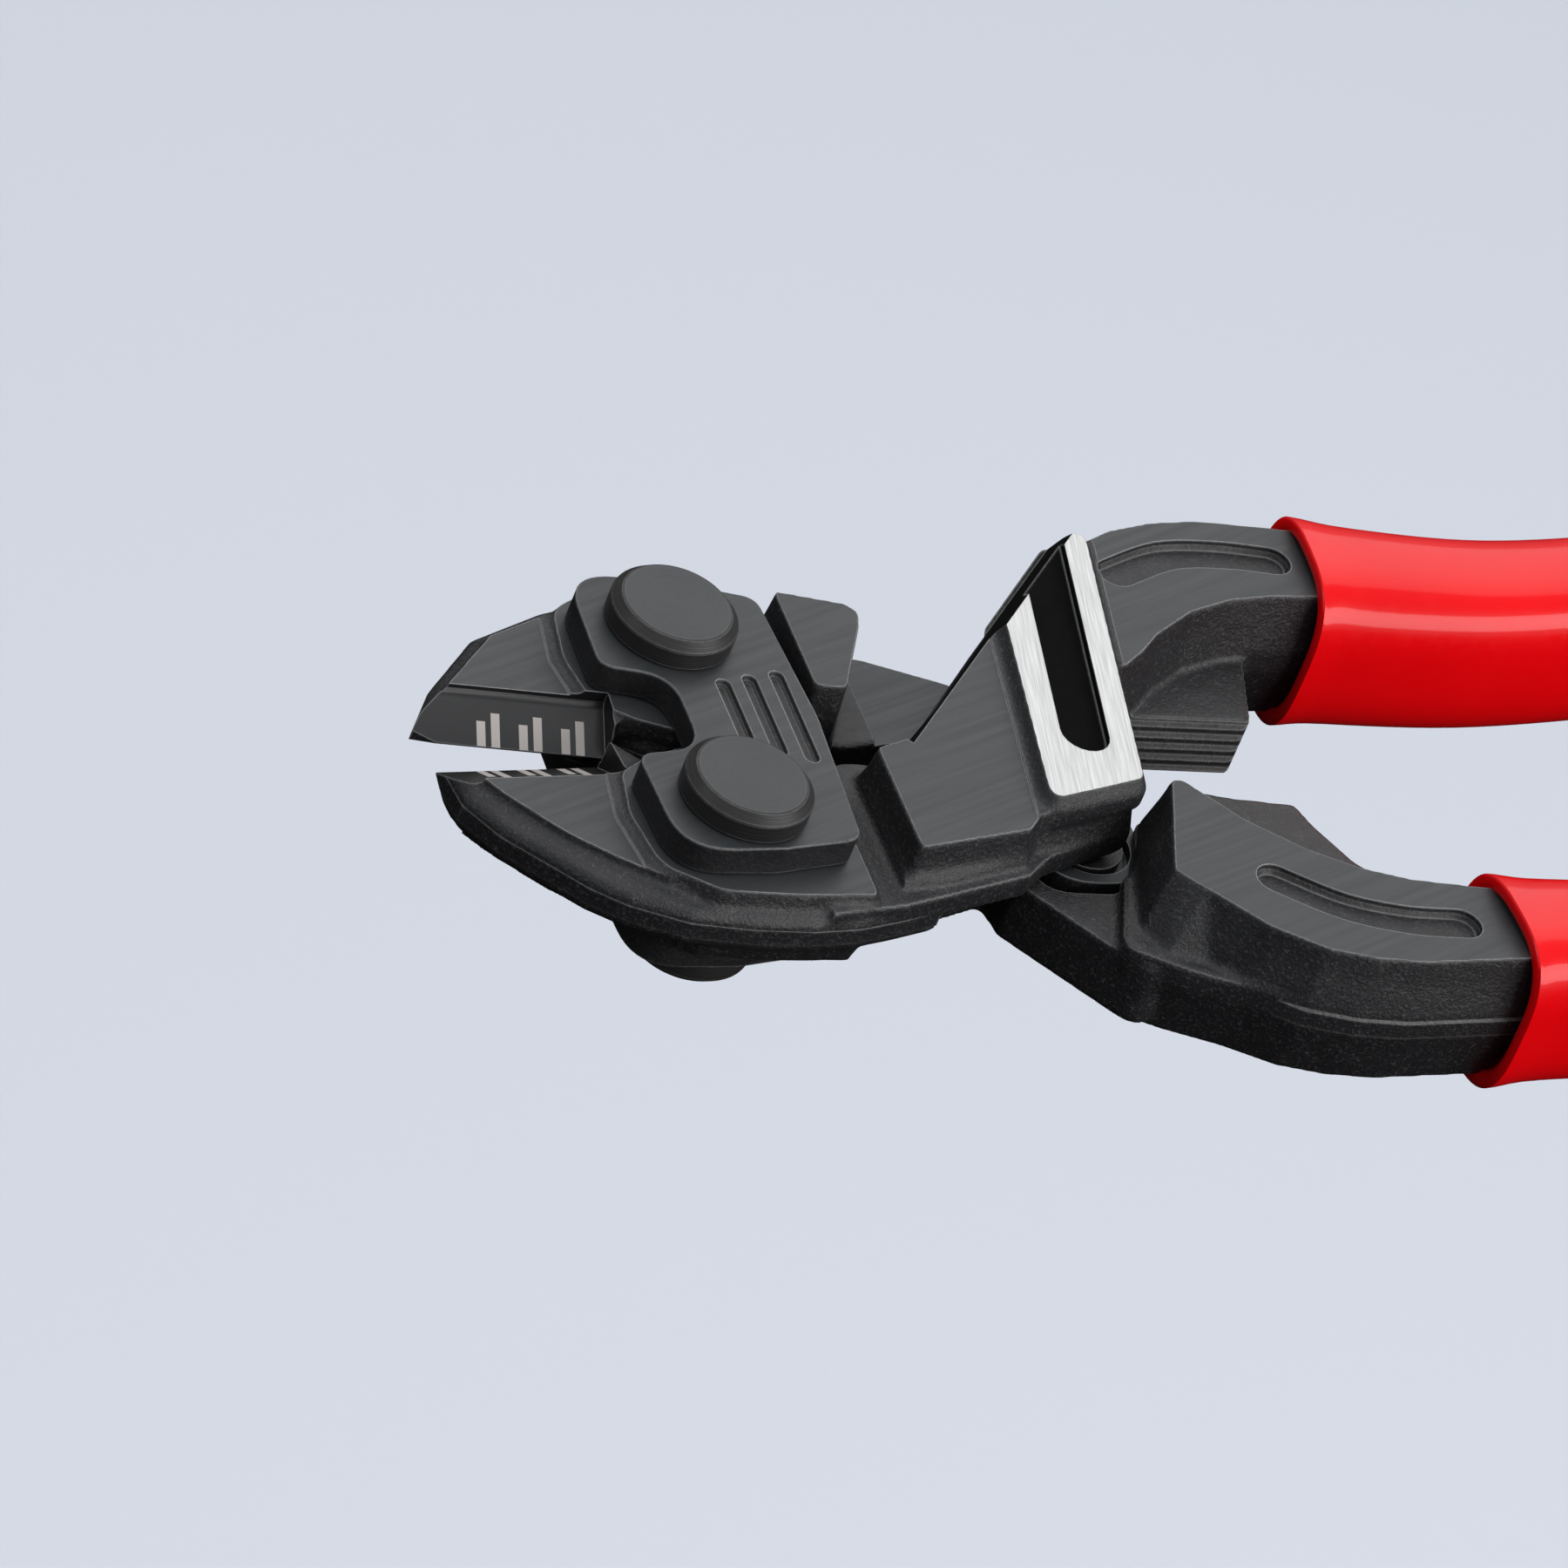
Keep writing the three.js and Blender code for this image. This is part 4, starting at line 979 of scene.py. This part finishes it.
def makeGrip(name, line, start):
    look = gripLook
    points = [p for p in line if p.x > start]
    span = [0.0]
    for a, b in zip(points, points[1:]):
        span.append(span[-1] + (b - a).length)
    length = span[-1]

    def at(distance):
        for i in range(1, len(points)):
            if span[i] >= distance:
                t = (distance - span[i - 1]) / (span[i] - span[i - 1])
                return points[i - 1].lerp(points[i], t)
        return points[-1]

    def half(distance):
        t, waistAt = distance / length, look["waistAt"]
        mouth, waist, tail = (Vector(look[k]) for k in ("mouth", "waist", "tail"))
        if t < waistAt:
            size = mouth.lerp(waist, math.sin(t / waistAt * math.pi / 2))
        else:
            size = waist.lerp(tail, (1 - math.cos((t - waistAt) / (1 - waistAt) * math.pi)) / 2)
        rise = math.exp(-(distance / look["lipLength"]) ** 2) * look["lip"]
        into = max(0, (distance - length + look["endRound"]) / look["endRound"])
        return (size + Vector((rise, rise * 0.3))) * math.sqrt(max(0.0016, 1 - into ** 2))

    lipStops, endRound = look["lipStops"], look["endRound"]
    stops = list(lipStops[1:])
    stops += [stops[-1] + (length - endRound - lipStops[-1]) * k / 40 for k in range(1, 41)]
    stops += [length - endRound * (1 - math.sin(k / 14 * math.pi / 2)) for k in range(1, 15)]
    outer = [(at(lipStops[0]), half(0.0))] + [(at(d), half(d)) for d in stops]
    inside = [(at(d), half(0.0) - Vector(wall)) for d, wall in look["rim"]]
    inside += [(at(look["armSeatDepth"]), Vector(look["armSeat"]))]
    inside += [(at(d), Vector(look["tangSeat"]) - Vector((1, 1)) * d / length) for d in look["tangStops"]]
    rings = outer[::-1] + inside
    bm = bmesh.new()
    swept(bm, [r[0] for r in rings], [r[1] for r in rings], sides=64, square=0.66)
    return meshObject(name, bm)


# the object
def dressForging(obj, body, node, edge):
    blade = bladeGrinding(obj.name + "BladeSide", edge, bladeLook)
    keepPiece(obj, body, [node], [blackSkin, blackGround, brushedPad, blade, slotPaintedShade])


dressForging(makeFixedHalf(), "fixed_side", "fixed_half", fixedHalf["edge"])
dressForging(makeUpperJaw(), "jaw", "moving_jaw", upperJaw["edge"])
keepPiece(makeLowerHandle(), "handle", ["moving_handle"], [blackSkin, blackGround])
keepPiece(makeCheekPlate("frontCheekPlate", 1), "plates", ["front_cheek_plate"],
          [plateEdge, blackGround], sharp=15)
keepPiece(makeCheekPlate("backCheekPlate", -1), "plates", ["back_cheek_plate"],
          [plateEdge, blackGround], sharp=15)
for name, centre in (("lower", lowerRivet), ("upper", upperRivet)):
    lathe = turnedSteel(name + "RivetTurned", centre, turnedLook)
    keepPiece(makeRivet(name + "RivetTurnedHead", centre), "plates", [name + "_rivet"],
              [lathe], sharp=15)
    keepPiece(makeCollar(name + "RivetBackCollar", centre), "plates", [name + "_rivet_collar"],
              [lathe], sharp=15)
keepPiece(makeGrip("upperGripSleeve", handleLines["upper"], 57.6), "fixed_side", ["upper_grip"],
          [redVinyl], sharp=80)
keepPiece(makeGrip("lowerGripSleeve", handleLines["lower"], 60), "handle", ["lower_grip"],
          [redVinyl], sharp=80)
# the pins' flat ends are made near-black: painted shade where they sit deep in their holes
pinShadedTopLook = dict(turnedLook, topDark=(0.006, 0.006, 0.006), topLight=(0.012, 0.012, 0.012))
for node, centre in (("joint_pin", jointPivot), ("toggle_pin", togglePivot)):
    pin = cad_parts[node]
    pin.data.materials.clear()
    pin.data.materials.append(turnedSteel(node + "Turned", centre, pinShadedTopLook))
print("object made")

# camera, floor and light
cameraLook = {
    "lens": 300, "sensor": 36, "clip": (0.05, 20), "place": (-0.414226, -0.657128, 0.594174),
    "turn": (51.0971, -18.3048, -18.1778),  # degrees
}
cameraData = bpy.data.cameras.new("bench")
cameraData.lens, cameraData.sensor_width = cameraLook["lens"], cameraLook["sensor"]
cameraData.clip_start, cameraData.clip_end = cameraLook["clip"]
camera = bpy.data.objects.new("bench", cameraData)
camera.location = cameraLook["place"]
camera.rotation_euler = [math.radians(turn) for turn in cameraLook["turn"]]
bpy.context.scene.collection.objects.link(camera)
bpy.context.scene.camera = camera

studio = {
    "floor": (0.525, 0.55, 0.60), "floorHalf": 6, "floorDrop": 0.32,
    "air": (0.92, 0.95, 1.0), "airLevel": 0.5, "airFade": (-0.3, 0.5), "airBelow": 0.02,
    "lamps": [  # name, place, aimed at, size, watts
        ("backSoftbox", (0.35, 0.75, 0.75), (0.02, 0.01, 0.01), (1.2, 1.0), 6.5),
        ("topSoftbox", (0.0, 0.0, 1.1), (0.02, 0.01, 0.01), (0.8, 0.8), 4),
        ("leftSoftbox", (-0.9, 0.1, 0.5), (0.02, 0.01, 0.01), (0.25, 0.7), 1.6),
        ("frontFill", (0.65, -0.7, 0.42), (0.04, 0.01, 0.01), (1.0, 0.5), 11),
    ],
}


def softbox(name, place, aim, size, watts):
    light = bpy.data.lights.new(name, "AREA")
    light.shape = "RECTANGLE"
    light.size, light.size_y = size
    light.energy = watts
    lamp = bpy.data.objects.new(name, light)
    lamp.location = place
    lamp.rotation_euler = (Vector(aim) - Vector(place)).to_track_quat("-Z", "Y").to_euler()
    bpy.context.scene.collection.objects.link(lamp)


for lampFacts in studio["lamps"]:
    softbox(*lampFacts)

bm = bmesh.new()
bmesh.ops.create_grid(bm, x_segments=1, y_segments=1, size=studio["floorHalf"])
bmesh.ops.translate(bm, vec=(0, 0, -studio["floorDrop"]), verts=bm.verts)
floor = meshObject("floor", bm)
floorPaint = newMaterial("paleFloor", 0.9, 0.1)[0]
floorPaint.node_tree.nodes["Principled BSDF"].inputs["Base Color"].default_value = (*studio["floor"], 1)
floor.data.materials.append(floorPaint)
floor.visible_diffuse = floor.visible_glossy = False

world = bpy.data.worlds.new("studioAir")
world.use_nodes = True
airAdd = maker(world.node_tree)
heading = airAdd("SeparateXYZ", Vector=airAdd("TexCoord").outputs["Generated"])
height = airAdd("MapRange", Value=heading.outputs["Z"], From_Min=studio["airFade"][0],
                From_Max=studio["airFade"][1], To_Min=studio["airBelow"])
background = world.node_tree.nodes["Background"]
background.inputs["Color"].default_value = (*studio["air"], 1)
world.node_tree.links.new(maths(airAdd, "MULTIPLY", height.outputs[0], studio["airLevel"]),
                          background.inputs["Strength"])
bpy.context.scene.world = world
bpy.context.scene.view_settings.view_transform = "Standard"
print("studio made")
